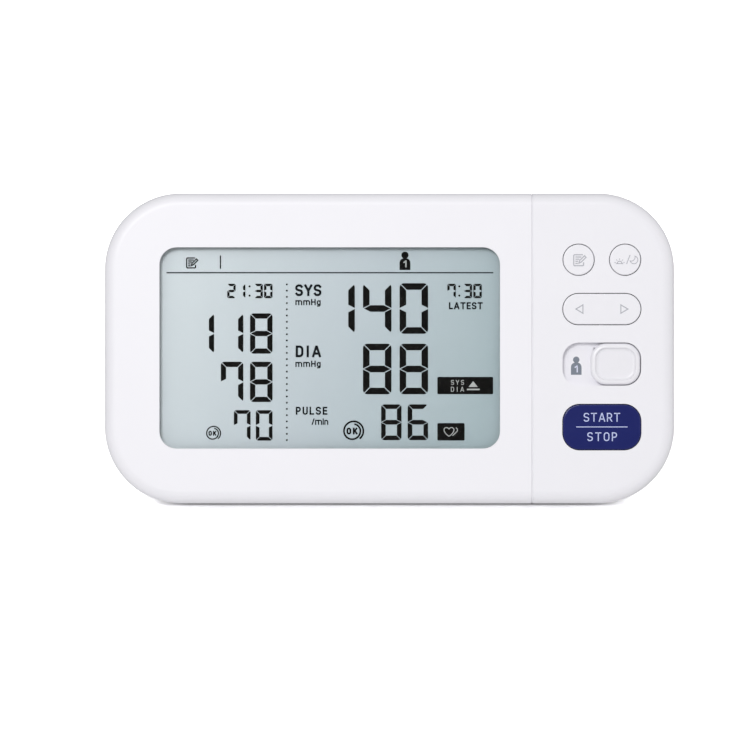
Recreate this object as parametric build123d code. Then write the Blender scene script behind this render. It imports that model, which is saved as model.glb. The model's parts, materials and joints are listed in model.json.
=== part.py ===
from build123d import *

import os
from math import atan2, cos, radians, sin, sqrt, tan

# Tabletop blood pressure monitor for an upper-arm cuff, as an assembly of its separate pieces.
#
# Millimetres. +X is to the user's right, +Y to the back and +Z up; the origin is on the table, under the
# middle of the unit. The face leans back, so most pieces are drawn flat in a frame of their own and then
# put in place. In the face frame X runs across the face, Y up the face and Z out of it, with zero at the
# middle of the face's front surface, so depths behind that surface are negative Z.

os.makedirs("parts", exist_ok=True)

# ---- Casing ----
unit_width = 191.0  # across the face
face_length = 104.0  # up the leaning face, edge to edge
unit_depth = 120.0  # front edge to rear wall, on the table
face_tilt = 45.0  # degrees between the face and the table
face_corner_radius = 25.5  # corners of the face, seen square on
face_edge_radius = 4.0  # rounding round the rim of the face
cover_depth = 13.0  # front covers, square to the face
chin_run = 2.5  # from the covers' back edge to the level of the base, square to the face
wall = 2.4  # all casing walls
foot_height = 2.0  # rubber feet below the base
rear_step = 1.2  # rear casing stands in from the covers all round
case_gap = 0.3  # shadow gap between the covers and the rear casing
top_depth = 24.0  # depth of the unit at its top edge, square to the face
rear_wall_height = 24.0  # level at which the rear wall starts to lean
rear_heel_radius = 9.0  # bottom edge of the rear wall
rear_brow_radius = 12.0  # where the rear wall starts to lean
rear_edge_radius = 5.0  # long edges of the rear casing
lip_height = 2.0  # rear casing's lip inside the covers
lip_clearance = 0.15
rib_thickness = 1.2
rib_clearance = 0.5

# ---- Seam between the display cover and the control cover ----
column_width = 47.7  # control cover, from the seam to the unit's right side
seam_gap = 0.3
seam_edge_radius = 0.35
seam_tongue_reach = 1.9  # tongue of the display cover, under the control cover
seam_tongue_root = 3.0
seam_tongue_thickness = 1.1
seam_tongue_clearance = 0.15
seam_tongue_end = 8.0  # short of the face's top and bottom edges

# ---- Display window and lens ----
window_side_margin = 18.5  # from the unit's left side
window_seam_margin = 10.8
window_top_margin = 18.2
window_bottom_margin = 18.4
window_corner_radius = 5.8
lens_recess = 1.0  # lens surface below the face
lens_clearance = 0.12
lens_flange_width = 2.2
lens_flange_thickness = 1.2
tape_thickness = 0.2

# ---- Liquid crystal display ----
lcd_side_border = 2.0  # glass hidden beside the window
lcd_end_border = 2.3  # glass hidden above and below the window
lcd_ledge = 3.4  # strip of front glass with the contacts, past the rear glass
lcd_lens_gap = 0.4
glass_thickness = 1.1
polariser_thickness = 0.2
polariser_margin = 1.2
reflector_thickness = 0.3
frame_clearance = 0.2
frame_wall = 1.4
frame_shelf_width = 3.0
frame_shelf_thickness = 1.5
frame_lens_gap = 0.1
zebra_end_margin = 9.0  # strip that joins the glass to the board, short of the glass's ends
zebra_thickness = 2.0
zebra_clearance = 0.2
zebra_land = 2.0  # shelf left between the strip's slot and the shelf's opening

# ---- Circuit board ----
board_side_margin = 7.0  # from the unit's sides
board_end_margin = 13.5  # from the face's top and bottom edges
board_corner_radius = 10.0
board_thickness = 1.6
board_depth = 11.0  # board's front surface below the face
board_boss_wall = 1.45
board_screw_radius = 1.1
board_screw_length = 6.0
board_screw_head_radius = 2.0
board_screw_head_height = 1.3
board_hole_clearance = 0.15
thread_clearance = 0.05  # between a screw and the plastic that holds it
screw_tip_room = 0.4
# Screws at the board's left end, beside the display's frame and beside the seam, each with a twin below.
board_screw_side_inset = 3.3
board_screw_frame_gap = 0.4
board_screw_seam_inset = 5.1
board_screw_end_insets = (10.5, 8.0, 5.5)

# ---- Keys ----
key_column_margin = 24.45  # from the middle of the keys' column to the unit's right side
key_gap = 0.25  # all round a key
key_travel = 0.5
key_flange = 0.9  # flange past the edge of the hole
key_flange_thickness = 0.9
key_flange_play = 0.05
key_edge_radius = 0.35
key_post_radius = 2.0
round_key_diameter = 10.3
round_key_pitch = 15.55
round_key_y = 29.6
start_key_width = 26.0
start_key_height = 15.1
start_key_corner_radius = 5.6
start_key_y = -26.4

# ---- Rocking arrow key ----
arrow_key_width = 26.0
arrow_key_height = 10.3
arrow_key_y = 13.1
arrow_key_skirt = 0.5  # key's body below the casing wall
arrow_reach = 8.0  # from the pivot to each post
arrow_pivot_depth = 4.2  # pivot below the face
arrow_pin_radius = 0.8
arrow_pin_clearance = 0.05
arrow_hub_width = 3.4
arrow_hub_drop = 1.0  # hub below the pivot
arrow_ear_gap = 0.2  # from the edge of the hole
arrow_ear_thickness = 1.6
arrow_ear_width = 4.0
arrow_ear_drop = 1.9  # ear below the pivot
arrow_post_gap = 0.03
arrow_dome_radius = 4.0

# ---- Tactile switches under the keys ----
switch_size = 6.0
switch_height = 3.5
plunger_radius = 1.6
plunger_clearance = 0.1
plunger_proud = 0.8
plunger_buried = 1.0
plunger_room = 0.3  # left under a pressed plunger

# ---- User slider ----
pocket_width = 26.3
pocket_height = 14.4
pocket_corner_radius = 5.5
pocket_depth = 3.2
pocket_wall = 1.4
pocket_floor = 1.2
pocket_y = -5.3
knob_width = 16.6
knob_clearance = 0.25
knob_floor_gap = 0.1
knob_edge_radius = 1.1
dish_margin = 1.5
dish_depth = 1.2
dish_edge_radius = 1.1
blade_length = 3.0  # stem of the knob, through the floor of the pocket
blade_thickness = 1.2
blade_x = 3.6  # from the knob's middle
blade_y = 4.7
blade_clearance = 0.2
carrier_width = 12.6
carrier_margin = 0.6  # carrier past the blade
carrier_drop = 3.0  # carrier below the knob's middle
carrier_thickness = 1.2
carrier_gap = 0.15
fork_gap = 0.1
fork_thickness = 1.2
fork_switch_gap = 0.65
slide_switch_height = 3.0
slide_switch_width = 6.0
slide_switch_end = 1.6
lever_size = 1.6
lever_carrier_gap = 0.25
lever_buried = 1.0
lever_clearance = 0.15

# ---- Battery bay, in the leaning rear wall ----
cell_diameter = 14.5
cell_length = 50.5
cells_per_row = 2
cell_nub_radius = 2.7
cell_nub_length = 1.4
cell_clearance = 0.4
bay_wall = 1.5
bay_contact_room = 7.0  # for the springs and plates at the ends
bay_ledge = 6.0  # ledge under the rim of the cover
bay_drop = 3.25  # bay's middle below the middle of the leaning wall, clear of the top side
contact_thickness = 0.4
contact_width = 11.0
contact_height = 11.0
spring_wire_radius = 0.35
spring_radius = 3.2
spring_coils = 3
spring_gap = 0.1
battery_cover_thickness = 2.0
battery_cover_clearance = 0.25
battery_cover_corner_radius = 3.0
tab_width = 9.0
tab_thickness = 1.2
tab_reach = 2.4
tab_root = 2.0
tab_gap = 0.35
tab_spacing = 56.0  # between the middles of the two tabs
latch_width = 15.0
latch_reach = 1.0
latch_thickness = 1.2
latch_clearance = 0.35
grip_ridge_count = 5
grip_ridge_length = 20.0
grip_ridge_width = 0.8
grip_ridge_pitch = 2.0
grip_ridge_height = 0.35
grip_ridge_drop = 5.0  # first ridge below the cover's top edge

# ---- Case screws, up into the front covers ----
case_screw_inset = 9.0  # from the bottom edge of the face
case_screw_left_inset = 35.5  # from the unit's left side
case_screw_seam_inset = 17.8
case_screw_right_inset = 24.5
case_screw_radius = 1.45
case_screw_length = 12.0
case_screw_head_radius = 2.8
case_screw_head_height = 2.0
case_boss_wall = 1.6
case_boss_depth = 16.5  # covers' bosses end this far below the face
screw_seat_gap = 0.2
screw_seat_thickness = 2.4
screw_seat_clearance = 0.25
screw_well_clearance = 0.4  # round the screw's head
screw_well_wall = 1.6

# ---- Snap hooks along the top edge ----
hook_left_inset = 37.5  # from the unit's left side
hook_window_shift = 14.0  # middle hook, from the middle of the window
hook_seam_inset = 12.2
hook_width = 9.0
hook_thickness = 1.3
hook_length = 5.5  # barb past the covers' back edge
hook_barb = 0.9
hook_barb_length = 1.6
hook_root = 4.0
hook_clearance = 0.2
catch_margin = 1.0
catch_thickness = 1.4

# ---- Feet ----
foot_radius = 5.0
foot_recess = 0.8
foot_edge_radius = 0.7
foot_side_inset = 15.5
front_foot_y = -24.0
rear_foot_y = 44.0

# ---- Pump and its motor, lying along X ----
pump_x = 9.0  # pump's left end
pump_y = -5.0
pump_radius = 13.5
pump_floor_gap = 1.2
pump_cap_thickness = 4.0
pump_cap_recess = 2.2
diaphragm_thickness = 1.2
diaphragm_cup_radius = 3.6
diaphragm_cup_depth = 3.0
diaphragm_cup_offset = 6.4
diaphragm_cups = 3
pump_head_length = 14.0
pump_head_wall = 2.0
crank_radius = 8.0
crank_thickness = 3.0
crank_gap = 0.6  # from the crank to the pump head's end wall
crank_pin_radius = 0.9
crank_pin_offset = 2.5
crank_pin_length = 1.8
motor_radius = 12.0
motor_length = 31.0
motor_can_wall = 0.9
motor_end_cap_thickness = 2.2
motor_shaft_radius = 1.0
motor_shaft_clearance = 0.05
motor_bush_radius = 2.6
motor_bush_length = 2.2
armature_radius = 8.6
armature_length = 17.0
armature_slots = 3
armature_slot_width = 2.4
armature_slot_depth = 5.0
armature_gap = 0.6
magnet_length = 20.0
magnet_glue = 0.03  # film of glue between the magnets and the can
magnet_split = 6.0
sleeve_thickness = 1.6
sleeve_margin = 1.5
cradle_length = 16.0
cradle_wall = 3.0
cradle_grip = 3.0  # arms above the motor's axis

# ---- Air lines ----
air_line_height = 10.0  # tubes' middle line above the floor of the casing
tube_bore_radius = 2.0
tube_wall = 1.4
barb_clearance = 0.05
barb_length = 5.0
barb_bore_radius = 0.9
tube_free_length = 3.0  # between two barbs in line
manifold_size = 12.0
manifold_x = -14.0
manifold_chamber_radius = 1.8
manifold_chamber_overlap = 0.5  # bores start this far inside the chamber
sensor_rise = 13.0  # tube's straight rise from the manifold, towards the sensor
sensor_size = 11.0
sensor_height = 4.5
jack_tube_step = 19.0  # runs of the tube to the air jack
arc_share = 0.45  # of a run that a bend may take up

# ---- Air release valve ----
valve_length = 20.0
valve_width = 15.0
valve_height = 13.0
valve_nozzle_thickness = 3.0
valve_chamber_radius = 2.6
valve_chamber_depth = 1.8
valve_yoke_thickness = 1.2
valve_core_radius = 2.2
valve_core_clearance = 0.1
valve_core_end = 0.6  # core stops short of the yoke's back
valve_tip_radius = 1.2
valve_tip_length = 2.6
valve_stroke = 0.6
valve_coil_radius = 5.2
valve_terminal_width = 6.0
valve_terminal_height = 1.5  # above the coil
valve_spring_wire = 0.22
valve_spring_turns = 3
valve_clip_thickness = 1.5
valve_clip_height = 7.0
valve_clip_clearance = 0.1

# ---- Sockets in the side walls ----
air_jack_y = 6.0
air_jack_z = 24.0
air_jack_bore_radius = 3.2
air_jack_bore_depth = 12.0
air_jack_barrel_radius = 5.6
air_jack_flange_radius = 7.6
air_jack_flange_thickness = 1.0
air_jack_end = 2.0
air_jack_nut_radius = 8.4
air_jack_nut_thickness = 2.5
socket_clearance = 0.1
dc_jack_y = 6.0
dc_jack_z = 20.0
dc_jack_bore_radius = 3.1
dc_jack_nose_radius = 4.4
dc_jack_pin_radius = 1.0
dc_jack_bore_depth = 9.5
dc_jack_pin_recess = 0.8
dc_jack_body_length = 12.0
dc_jack_body_width = 10.5

# ---- Small parts on the board, and the wiring ----
controller_place = (14.0, 14.0)
controller_size = 14.0
controller_height = 1.6
buzzer_shift = 0.95  # from the middle of the keys' column
buzzer_y = 26.0
buzzer_radius = 6.0
buzzer_height = 3.0
capacitor_places = ((-46.0, -14.0), (-36.0, -14.0), (-46.0, -25.0))
capacitor_radius = 3.2
capacitor_height = 7.0
plug_length = 8.0
plug_width = 5.0
plug_height = 5.0
wire_radius = 0.65
wire_pitch = 2.4
wire_exit = 9.0
valve_wire_rise = 13.5
battery_plug_place = (-62.0, 16.0)
valve_plug_place = (-32.0, 24.0)
pump_plug_shift = -0.05  # from the middle of the keys' column
pump_plug_y = -8.0
dc_plug_shift = -7.05
dc_plug_y = 12.0

# ---- Derived frames and levels ----
tilt = radians(face_tilt)
up_face = Vector(0, cos(tilt), sin(tilt))
out_face = Vector(0, -sin(tilt), cos(tilt))
base_z = foot_height
floor_z = base_z + wall
# The rounded front edge is the furthest forward, not the sharp corner that it replaces.
front_edge = Vector(
    0,
    -unit_depth / 2 + face_edge_radius * (1 - cos(tilt) - sin(tilt)),
    base_z + (cover_depth + chin_run) * cos(tilt),
)
face_frame = Plane(origin=front_edge + up_face * (face_length / 2), x_dir=(1, 0, 0), z_dir=out_face)
low = (Align.CENTER, Align.CENTER, Align.MIN)
far = 2 * (unit_depth + face_length)  # past anything in the unit
rear_rim = -(cover_depth + case_gap)
rear_side_x = unit_width / 2 - rear_step
inner_side_x = rear_side_x - wall
seam_x = unit_width / 2 - column_width
key_column_x = unit_width / 2 - key_column_margin
foot_x = unit_width / 2 - foot_side_inset
case_screw_y = case_screw_inset - face_length / 2
case_boss_radius = case_screw_radius + thread_clearance + case_boss_wall
board_boss_radius = board_screw_radius + thread_clearance + board_boss_wall
screw_well_radius = case_screw_head_radius + screw_well_clearance

# The window keeps its margins from the unit's side, the seam and the face's edges, and what is behind
# it grows with it.
window_left = window_side_margin - unit_width / 2
window_right = seam_x - window_seam_margin
window_width = window_right - window_left
window_height = face_length - window_top_margin - window_bottom_margin
window_x = (window_left + window_right) / 2
window_y = (window_bottom_margin - window_top_margin) / 2
lcd_width = window_width + 2 * lcd_side_border
lcd_height = window_height + 2 * lcd_end_border
zebra_length = lcd_width - 2 * zebra_end_margin
frame_side_x = window_x + lcd_width / 2 + frame_clearance + frame_wall
board_width = unit_width - 2 * board_side_margin
board_height = face_length - 2 * board_end_margin
board_screw_stations = (
    board_screw_side_inset - board_width / 2,
    frame_side_x + board_screw_frame_gap + board_boss_radius,
    seam_x + board_screw_seam_inset,
)
board_screw_places = [
    (x, side * (board_height / 2 - inset))
    for x, inset in zip(board_screw_stations, board_screw_end_insets)
    for side in (1, -1)
]
case_screw_places = (
    case_screw_left_inset - unit_width / 2,
    window_x,
    seam_x - case_screw_seam_inset,
    unit_width / 2 - case_screw_right_inset,
)
hook_places = (
    hook_left_inset - unit_width / 2,
    window_x + hook_window_shift,
    seam_x + hook_seam_inset,
)
buzzer_place = (key_column_x + buzzer_shift, buzzer_y)
pump_plug_place = (key_column_x + pump_plug_shift, pump_plug_y)
dc_plug_place = (key_column_x + dc_plug_shift, dc_plug_y)

# Levels behind the face, in the face frame.
lens_flange_top = -(wall + tape_thickness)
lens_back = lens_flange_top - lens_flange_thickness
polariser_top = lens_back - lcd_lens_gap
front_glass_top = polariser_top - polariser_thickness
rear_glass_top = front_glass_top - glass_thickness
reflector_top = rear_glass_top - glass_thickness
frame_top = lens_back - frame_lens_gap
shelf_top = reflector_top - reflector_thickness
board_front = -board_depth
board_back = board_front - board_thickness
switch_top = board_front + switch_height
plunger_top = switch_top + plunger_proud
key_flange_top = -(wall + key_flange_play)
key_flange_bottom = key_flange_top - key_flange_thickness
plug_back = board_back - plug_height


def face_point(x, y, z):
    """A point of the face frame, in the unit's frame."""
    return face_frame.origin + Vector(x, 0, 0) + up_face * y + out_face * z


# The leaning rear wall, from the top of the upright rear wall to the unit's top edge.
slope_foot = Vector(0, unit_depth / 2, rear_wall_height)
slope_top = face_point(0, face_length / 2, -top_depth)
slope_length = (slope_top - slope_foot).length
slope_up = (slope_top - slope_foot).normalized()
slope_out = Vector(0, slope_up.Z, -slope_up.Y)
slope_lean = atan2(-slope_up.Y, slope_up.Z)
brow_tangent = rear_brow_radius * tan(slope_lean / 2)
bay_frame = Plane(
    origin=slope_foot + slope_up * ((slope_length + brow_tangent) / 2 - bay_drop),
    x_dir=(-1, 0, 0),
    z_dir=slope_out,
)


def bay_point(x, y, z):
    """A point of the battery bay's frame, in the unit's frame."""
    return bay_frame.origin + Vector(-x, 0, 0) + slope_up * y + slope_out * z


# ---- Plain shapes ----
def on_face(piece):
    """Puts a piece drawn in the face frame in its place."""
    return face_frame.location * piece


def on_slope(piece):
    """Puts a piece drawn in the battery bay's frame (Y up the slope, Z out of it) in its place."""
    return bay_frame.location * piece


def slab(outline, top, bottom):
    """A flat outline as a solid between two levels."""
    return Pos(0, 0, bottom) * extrude(outline, top - bottom)


def post(x, y, radius, top, bottom):
    """An upright cylinder between two levels."""
    return Pos(x, y, bottom) * Cylinder(radius, top - bottom, align=low)


def block(x0, x1, y0, y1, z0, z1):
    """A box between two corners."""
    middle = Pos((x0 + x1) / 2, (y0 + y1) / 2, (z0 + z1) / 2)
    return middle * Box(x1 - x0, y1 - y0, z1 - z0)


def plate(x, y, width, height, top, bottom):
    """A box about a middle point, between two levels."""
    return block(x - width / 2, x + width / 2, y - height / 2, y + height / 2, bottom, top)


def rod_x(start, end, y, z, radius):
    """A cylinder along X between two stations."""
    return Pos(start, y, z) * Rot(0, 90, 0) * Cylinder(radius, end - start, align=low)


def rod_y(x, start, end, z, radius):
    """A cylinder along Y between two stations."""
    return Pos(x, start, z) * Rot(-90, 0, 0) * Cylinder(radius, end - start, align=low)


def round_rim(piece, radius):
    """Rounds the outer rim of a piece's top."""
    return fillet(piece.edges().group_by(Axis.Z)[-1], radius)


def soft_path(points):
    """Straight runs joined by arcs as large as the runs allow."""
    runs = [after - before for before, after in zip(points, points[1:])]
    radii = []
    for before, after in zip(runs, runs[1:]):
        half_turn = radians(before.get_angle(after)) / 2
        radii.append(arc_share * min(before.length, after.length) / tan(half_turn))
    return FilletPolyline(*points, radius=radii)


def follow(path, section):
    """A flat section swept along a path."""
    return sweep(Plane(origin=path @ 0, z_dir=path % 0) * section, path=path)


def save(name, *pieces):
    """Writes one node of the assembly, from one or more solids."""
    solids = [solid for piece in pieces for solid in piece.solids()]
    node = solids[0] if len(solids) == 1 else Compound(solids)
    export_step(node, f"parts/{name}.step")


# ---- Casing forms ----
def face_outline(inset=0.0):
    """The face's rounded rectangle, inset evenly."""
    return RectangleRounded(
        unit_width - 2 * inset, face_length - 2 * inset, face_corner_radius - inset
    )


def cover_form(inset=0.0):
    """Both front covers as one solid form, or the hollow inside them."""
    return round_rim(slab(face_outline(inset), -inset, -cover_depth), face_edge_radius - inset)


def side_profile(inset=0.0):
    """Side view of the space behind the face, as a face in the YZ plane."""
    base = base_z + inset
    back = unit_depth / 2 - inset
    brow = Vector(0, back, rear_wall_height - inset * tan(slope_lean / 2))
    slope_end = brow + slope_up * far
    outline = FilletPolyline(
        (0, -far, base),
        (0, back, base),
        brow,
        slope_end,
        (0, -far, slope_end.Z),
        radius=[0, rear_heel_radius - inset, rear_brow_radius - inset, 0, 0],
        close=True,
    )
    return make_face(outline)


def rear_form(inset=0.0):
    """The rear casing as one solid form, or the hollow inside it."""
    column = on_face(slab(face_outline(rear_step + inset), rear_rim, -far))
    profile = extrude(side_profile(inset), unit_width, both=True)
    form = column & profile
    return fillet(new_edges(column, profile, combined=form), rear_edge_radius - inset)


# ---- Front covers ----
def cover_half(side):
    """The part of the covers' form on one side of the seam: -1 for the display's, +1 for the keys'."""
    cut_x = seam_x + side * seam_gap / 2
    left, right = sorted((cut_x, side * unit_width))
    half = cover_form() & block(left, right, -face_length, face_length, -far, far)
    cut_face = half.faces().filter_by(Axis.X).sort_by(Axis.X)[0 if side > 0 else -1]
    return fillet(cut_face.edges().sort_by(Axis.Z)[1:], seam_edge_radius)


def board_boss(x, y):
    return post(x, y, board_boss_radius, -wall, board_front)


def board_pilot(x, y):
    tip = board_back + board_screw_length + screw_tip_room
    return post(x, y, board_screw_radius + thread_clearance, tip, board_front)


def case_boss(x):
    """Boss for a case screw, with a rib to the bottom wall."""
    boss = post(x, case_screw_y, case_boss_radius, -wall, -case_boss_depth)
    rib_end = lip_height + rib_clearance - cover_depth
    half = rib_thickness / 2
    rib = block(x - half, x + half, wall - face_length / 2, case_screw_y, rib_end, -wall)
    return boss + rib


def case_screw_tip():
    seat_bottom = -(case_boss_depth + screw_seat_gap + screw_seat_thickness)
    return seat_bottom + case_screw_length


def case_pilot(x):
    tip = case_screw_tip() + screw_tip_room
    return post(x, case_screw_y, case_screw_radius + thread_clearance, tip, -case_boss_depth)


def hook_levels():
    """Barb's underside, and the hook's outer side."""
    underside = hook_length - cover_depth
    outer_side = face_length / 2 - wall - hook_barb - 2 * hook_clearance
    return underside, outer_side


def snap_catch(x):
    """Ledge on the covers' top wall, which a hook's barb passes and holds."""
    underside, outer_side = hook_levels()
    half = hook_width / 2 + catch_margin
    top = underside - hook_clearance
    inner = outer_side + hook_clearance
    return block(x - half, x + half, inner, face_length / 2 - wall / 2, top - catch_thickness, top)


def side_places(places, side):
    """The places along X that are on one side of the seam."""
    return [x for x in places if (x - seam_x) * side > 0]


def cover_blank(side):
    """One front cover with its bosses and catches, before its openings are cut."""
    cover = cover_half(side) - cover_form(wall)
    boards = [place for place in board_screw_places if (place[0] - seam_x) * side > 0]
    for x, y in boards:
        cover += board_boss(x, y)
    for x in side_places(case_screw_places, side):
        cover += case_boss(x)
    for x in side_places(hook_places, side):
        cover += snap_catch(x)
    for x, y in boards:
        cover -= board_pilot(x, y)
    for x in side_places(case_screw_places, side):
        cover -= case_pilot(x)
    return cover


def window_outline(grow=0.0):
    outline = RectangleRounded(
        window_width + 2 * grow, window_height + 2 * grow, window_corner_radius + grow
    )
    return Pos(window_x, window_y) * outline


def seam_tongue():
    """Strip under the seam, on the display cover, that keeps light and dust out."""
    half = face_length / 2 - seam_tongue_end
    bottom = -(wall + seam_tongue_clearance + seam_tongue_thickness)
    edge = seam_x - seam_gap / 2
    root = block(edge - seam_tongue_root, edge, -half, half, bottom, -wall)
    top = -(wall + seam_tongue_clearance)
    return root + block(edge - seam_tongue_root, seam_x + seam_tongue_reach, -half, half, bottom, top)


def display_cover():
    cover = cover_blank(-1) + seam_tongue()
    return on_face(cover - slab(window_outline(), wall, -cover_depth))


def arrow_outline(grow=0.0):
    length = arrow_key_width + 2 * grow
    height = arrow_key_height + 2 * grow
    return Pos(key_column_x, arrow_key_y) * SlotOverall(length, height)


def start_outline(grow=0.0):
    outline = RectangleRounded(
        start_key_width + 2 * grow, start_key_height + 2 * grow, start_key_corner_radius + grow
    )
    return Pos(key_column_x, start_key_y) * outline


def round_outline(x, grow=0.0):
    return Pos(x, round_key_y) * Circle(round_key_diameter / 2 + grow)


def pocket_outline(grow=0.0):
    outline = RectangleRounded(
        pocket_width + 2 * grow, pocket_height + 2 * grow, pocket_corner_radius + grow
    )
    return Pos(key_column_x, pocket_y) * outline


memory_x = key_column_x - round_key_pitch / 2
average_x = key_column_x + round_key_pitch / 2
floor_top = -pocket_depth
floor_bottom = floor_top - pocket_floor
knob_x = key_column_x + pocket_width / 2 - knob_clearance - knob_width / 2
slide_travel = pocket_width - knob_width - 2 * knob_clearance
blade_middle = (knob_x + blade_x, pocket_y + blade_y)
ear_inner = arrow_key_height / 2 + key_gap + arrow_ear_gap


def blade_slot():
    """Slot in the pocket's floor for the slider's stem, as long as its travel."""
    x, y = blade_middle
    half = blade_length / 2 + blade_clearance
    side = blade_thickness / 2 + blade_clearance
    return block(x - half - slide_travel, x + half, y - side, y + side, floor_bottom, floor_top)


def arrow_ear(side):
    """Ear that holds one pin of the arrow key."""
    inner = arrow_key_y + side * ear_inner
    outer = inner + side * arrow_ear_thickness
    y0, y1 = sorted((inner, outer))
    x0 = key_column_x - arrow_ear_width / 2
    bottom = -(arrow_pivot_depth + arrow_ear_drop)
    ear = block(x0, x0 + arrow_ear_width, y0, y1, bottom, -wall)
    return ear - rod_y(key_column_x, y0, y1, -arrow_pivot_depth, arrow_pin_radius + arrow_pin_clearance)


def control_cover():
    cover = cover_blank(1)
    cover += slab(pocket_outline(pocket_wall), -wall, floor_bottom)
    cover -= slab(pocket_outline(), wall, floor_top)
    cover -= blade_slot()
    for outline in (
        round_outline(memory_x, key_gap),
        round_outline(average_x, key_gap),
        arrow_outline(key_gap),
        start_outline(key_gap),
    ):
        cover -= slab(outline, wall, -cover_depth)
    for side in (-1, 1):
        cover += arrow_ear(side)
    return on_face(cover)


# ---- Window and display ----
def window_lens():
    """Clear lens: a pad that fills the window and a flange behind the casing wall."""
    pad = slab(window_outline(-lens_clearance), -lens_recess, lens_flange_top)
    flange = slab(window_outline(lens_flange_width), lens_flange_top, lens_back)
    return on_face(pad + flange)


def window_tape():
    ring = window_outline(lens_flange_width) - window_outline()
    return on_face(slab(ring, -wall, lens_flange_top))


def display_sheet(top, thickness, margin, ledge):
    """One layer of the display, with a strip left free along its bottom edge."""
    width = lcd_width - 2 * margin
    height = lcd_height - 2 * margin - ledge
    return on_face(plate(window_x, window_y + ledge / 2, width, height, top, top - thickness))


zebra_y = window_y - lcd_height / 2 + lcd_ledge / 2


def lcd_frame():
    """Frame that carries the display off the board, with a slot for the contact strip."""
    grow = 2 * frame_clearance
    rim = grow + 2 * frame_wall
    shelf_bottom = shelf_top - frame_shelf_thickness
    body = plate(window_x, window_y, lcd_width + rim, lcd_height + rim, frame_top, board_front)
    seat = plate(window_x, window_y, lcd_width + grow, lcd_height + grow, frame_top, shelf_top)
    under = plate(window_x, window_y, lcd_width + grow, lcd_height + grow, shelf_bottom, board_front)
    slot_half = zebra_thickness / 2 + zebra_clearance
    slot = plate(
        window_x, zebra_y, zebra_length + 2 * zebra_clearance, 2 * slot_half, shelf_top, shelf_bottom
    )
    opening = block(
        window_x - lcd_width / 2 + frame_shelf_width,
        window_x + lcd_width / 2 - frame_shelf_width,
        zebra_y + slot_half + zebra_land,
        window_y + lcd_height / 2 - frame_shelf_width,
        shelf_bottom,
        shelf_top,
    )
    return on_face(body - seat - under - slot - opening)


def zebra_connector():
    return on_face(plate(window_x, zebra_y, zebra_length, zebra_thickness, rear_glass_top, board_front))


# ---- Circuit board ----
def main_board():
    board = slab(RectangleRounded(board_width, board_height, board_corner_radius), board_front, board_back)
    for x, y in board_screw_places:
        board -= post(x, y, board_screw_radius + board_hole_clearance, board_front, board_back)
    return on_face(board)


def board_screw(x, y):
    shank = post(x, y, board_screw_radius, board_back + board_screw_length, board_back)
    head = post(x, y, board_screw_head_radius, board_back, board_back - board_screw_head_height)
    return on_face(shank + head)


switch_places = (
    (memory_x, round_key_y),
    (average_x, round_key_y),
    (key_column_x - arrow_reach, arrow_key_y),
    (key_column_x + arrow_reach, arrow_key_y),
    (key_column_x, start_key_y),
)


def tact_switch(x, y):
    body = plate(x, y, switch_size, switch_size, switch_top, board_front)
    floor = switch_top - plunger_buried - key_travel - plunger_room
    return on_face(body - post(x, y, plunger_radius + plunger_clearance, switch_top, floor))


def plunger(x, y):
    return on_face(post(x, y, plunger_radius, plunger_top, switch_top - plunger_buried))


def plug(place):
    x, y = place
    return on_face(plate(x, y, plug_length, plug_width, board_back, plug_back))


def microcontroller():
    x, y = controller_place
    back = board_back - controller_height
    return on_face(plate(x, y, controller_size, controller_size, board_back, back))


def buzzer():
    x, y = buzzer_place
    can = post(x, y, buzzer_radius, board_back, board_back - buzzer_height)
    sound_hole = post(x, y, barb_bore_radius, board_back, board_back - buzzer_height)
    return on_face(can - sound_hole)


def capacitor(x, y):
    return on_face(post(x, y, capacitor_radius, board_back, board_back - capacitor_height))


# ---- Keys ----
def pressed_key(outline, flange_outline, x, y):
    """A push key: cap, flange behind the wall and post down to its switch."""
    cap = round_rim(slab(outline, 0, key_flange_top), key_edge_radius)
    flange = slab(flange_outline, key_flange_top, key_flange_bottom)
    return on_face(cap + flange + post(x, y, key_post_radius, key_flange_bottom, plunger_top))


def round_key(x):
    grow = key_gap + key_flange
    return pressed_key(round_outline(x), round_outline(x, grow), x, round_key_y)


def start_key():
    grow = key_gap + key_flange
    return pressed_key(start_outline(), start_outline(grow), key_column_x, start_key_y)


def arrow_post(side):
    """Post with a domed end, so that it rolls on its switch as the key tilts."""
    x = key_column_x + side * arrow_reach
    tip = plunger_top + arrow_post_gap
    shaft = post(x, arrow_key_y, key_post_radius, -wall, tip)
    return shaft & (Pos(x, arrow_key_y, tip + arrow_dome_radius) * Sphere(arrow_dome_radius))


def arrow_rocker():
    skirt = -(wall + arrow_key_skirt)
    cap = round_rim(slab(arrow_outline(), 0, skirt), key_edge_radius)
    hub_bottom = -(arrow_pivot_depth + arrow_hub_drop)
    cap += plate(key_column_x, arrow_key_y, arrow_hub_width, arrow_key_height, skirt, hub_bottom)
    pin_end = ear_inner + arrow_ear_thickness
    pin = rod_y(
        key_column_x, arrow_key_y - pin_end, arrow_key_y + pin_end, -arrow_pivot_depth, arrow_pin_radius
    )
    for side in (-1, 1):
        x = key_column_x + side * arrow_reach
        dome_top = plunger_top + arrow_post_gap + key_post_radius
        cap += post(x, arrow_key_y, key_post_radius, skirt, dome_top)
        cap += arrow_post(side)
    return on_face(cap + pin)


# ---- User slider ----
def knob_outline(inset=0.0):
    width = knob_width - 2 * inset
    height = pocket_height - 2 * knob_clearance - 2 * inset
    radius = pocket_corner_radius - knob_clearance - inset
    return Pos(knob_x, pocket_y) * RectangleRounded(width, height, radius)


carrier_top = floor_bottom - carrier_gap
carrier_bottom = carrier_top - carrier_thickness
slide_switch_top = board_front + slide_switch_height


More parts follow.
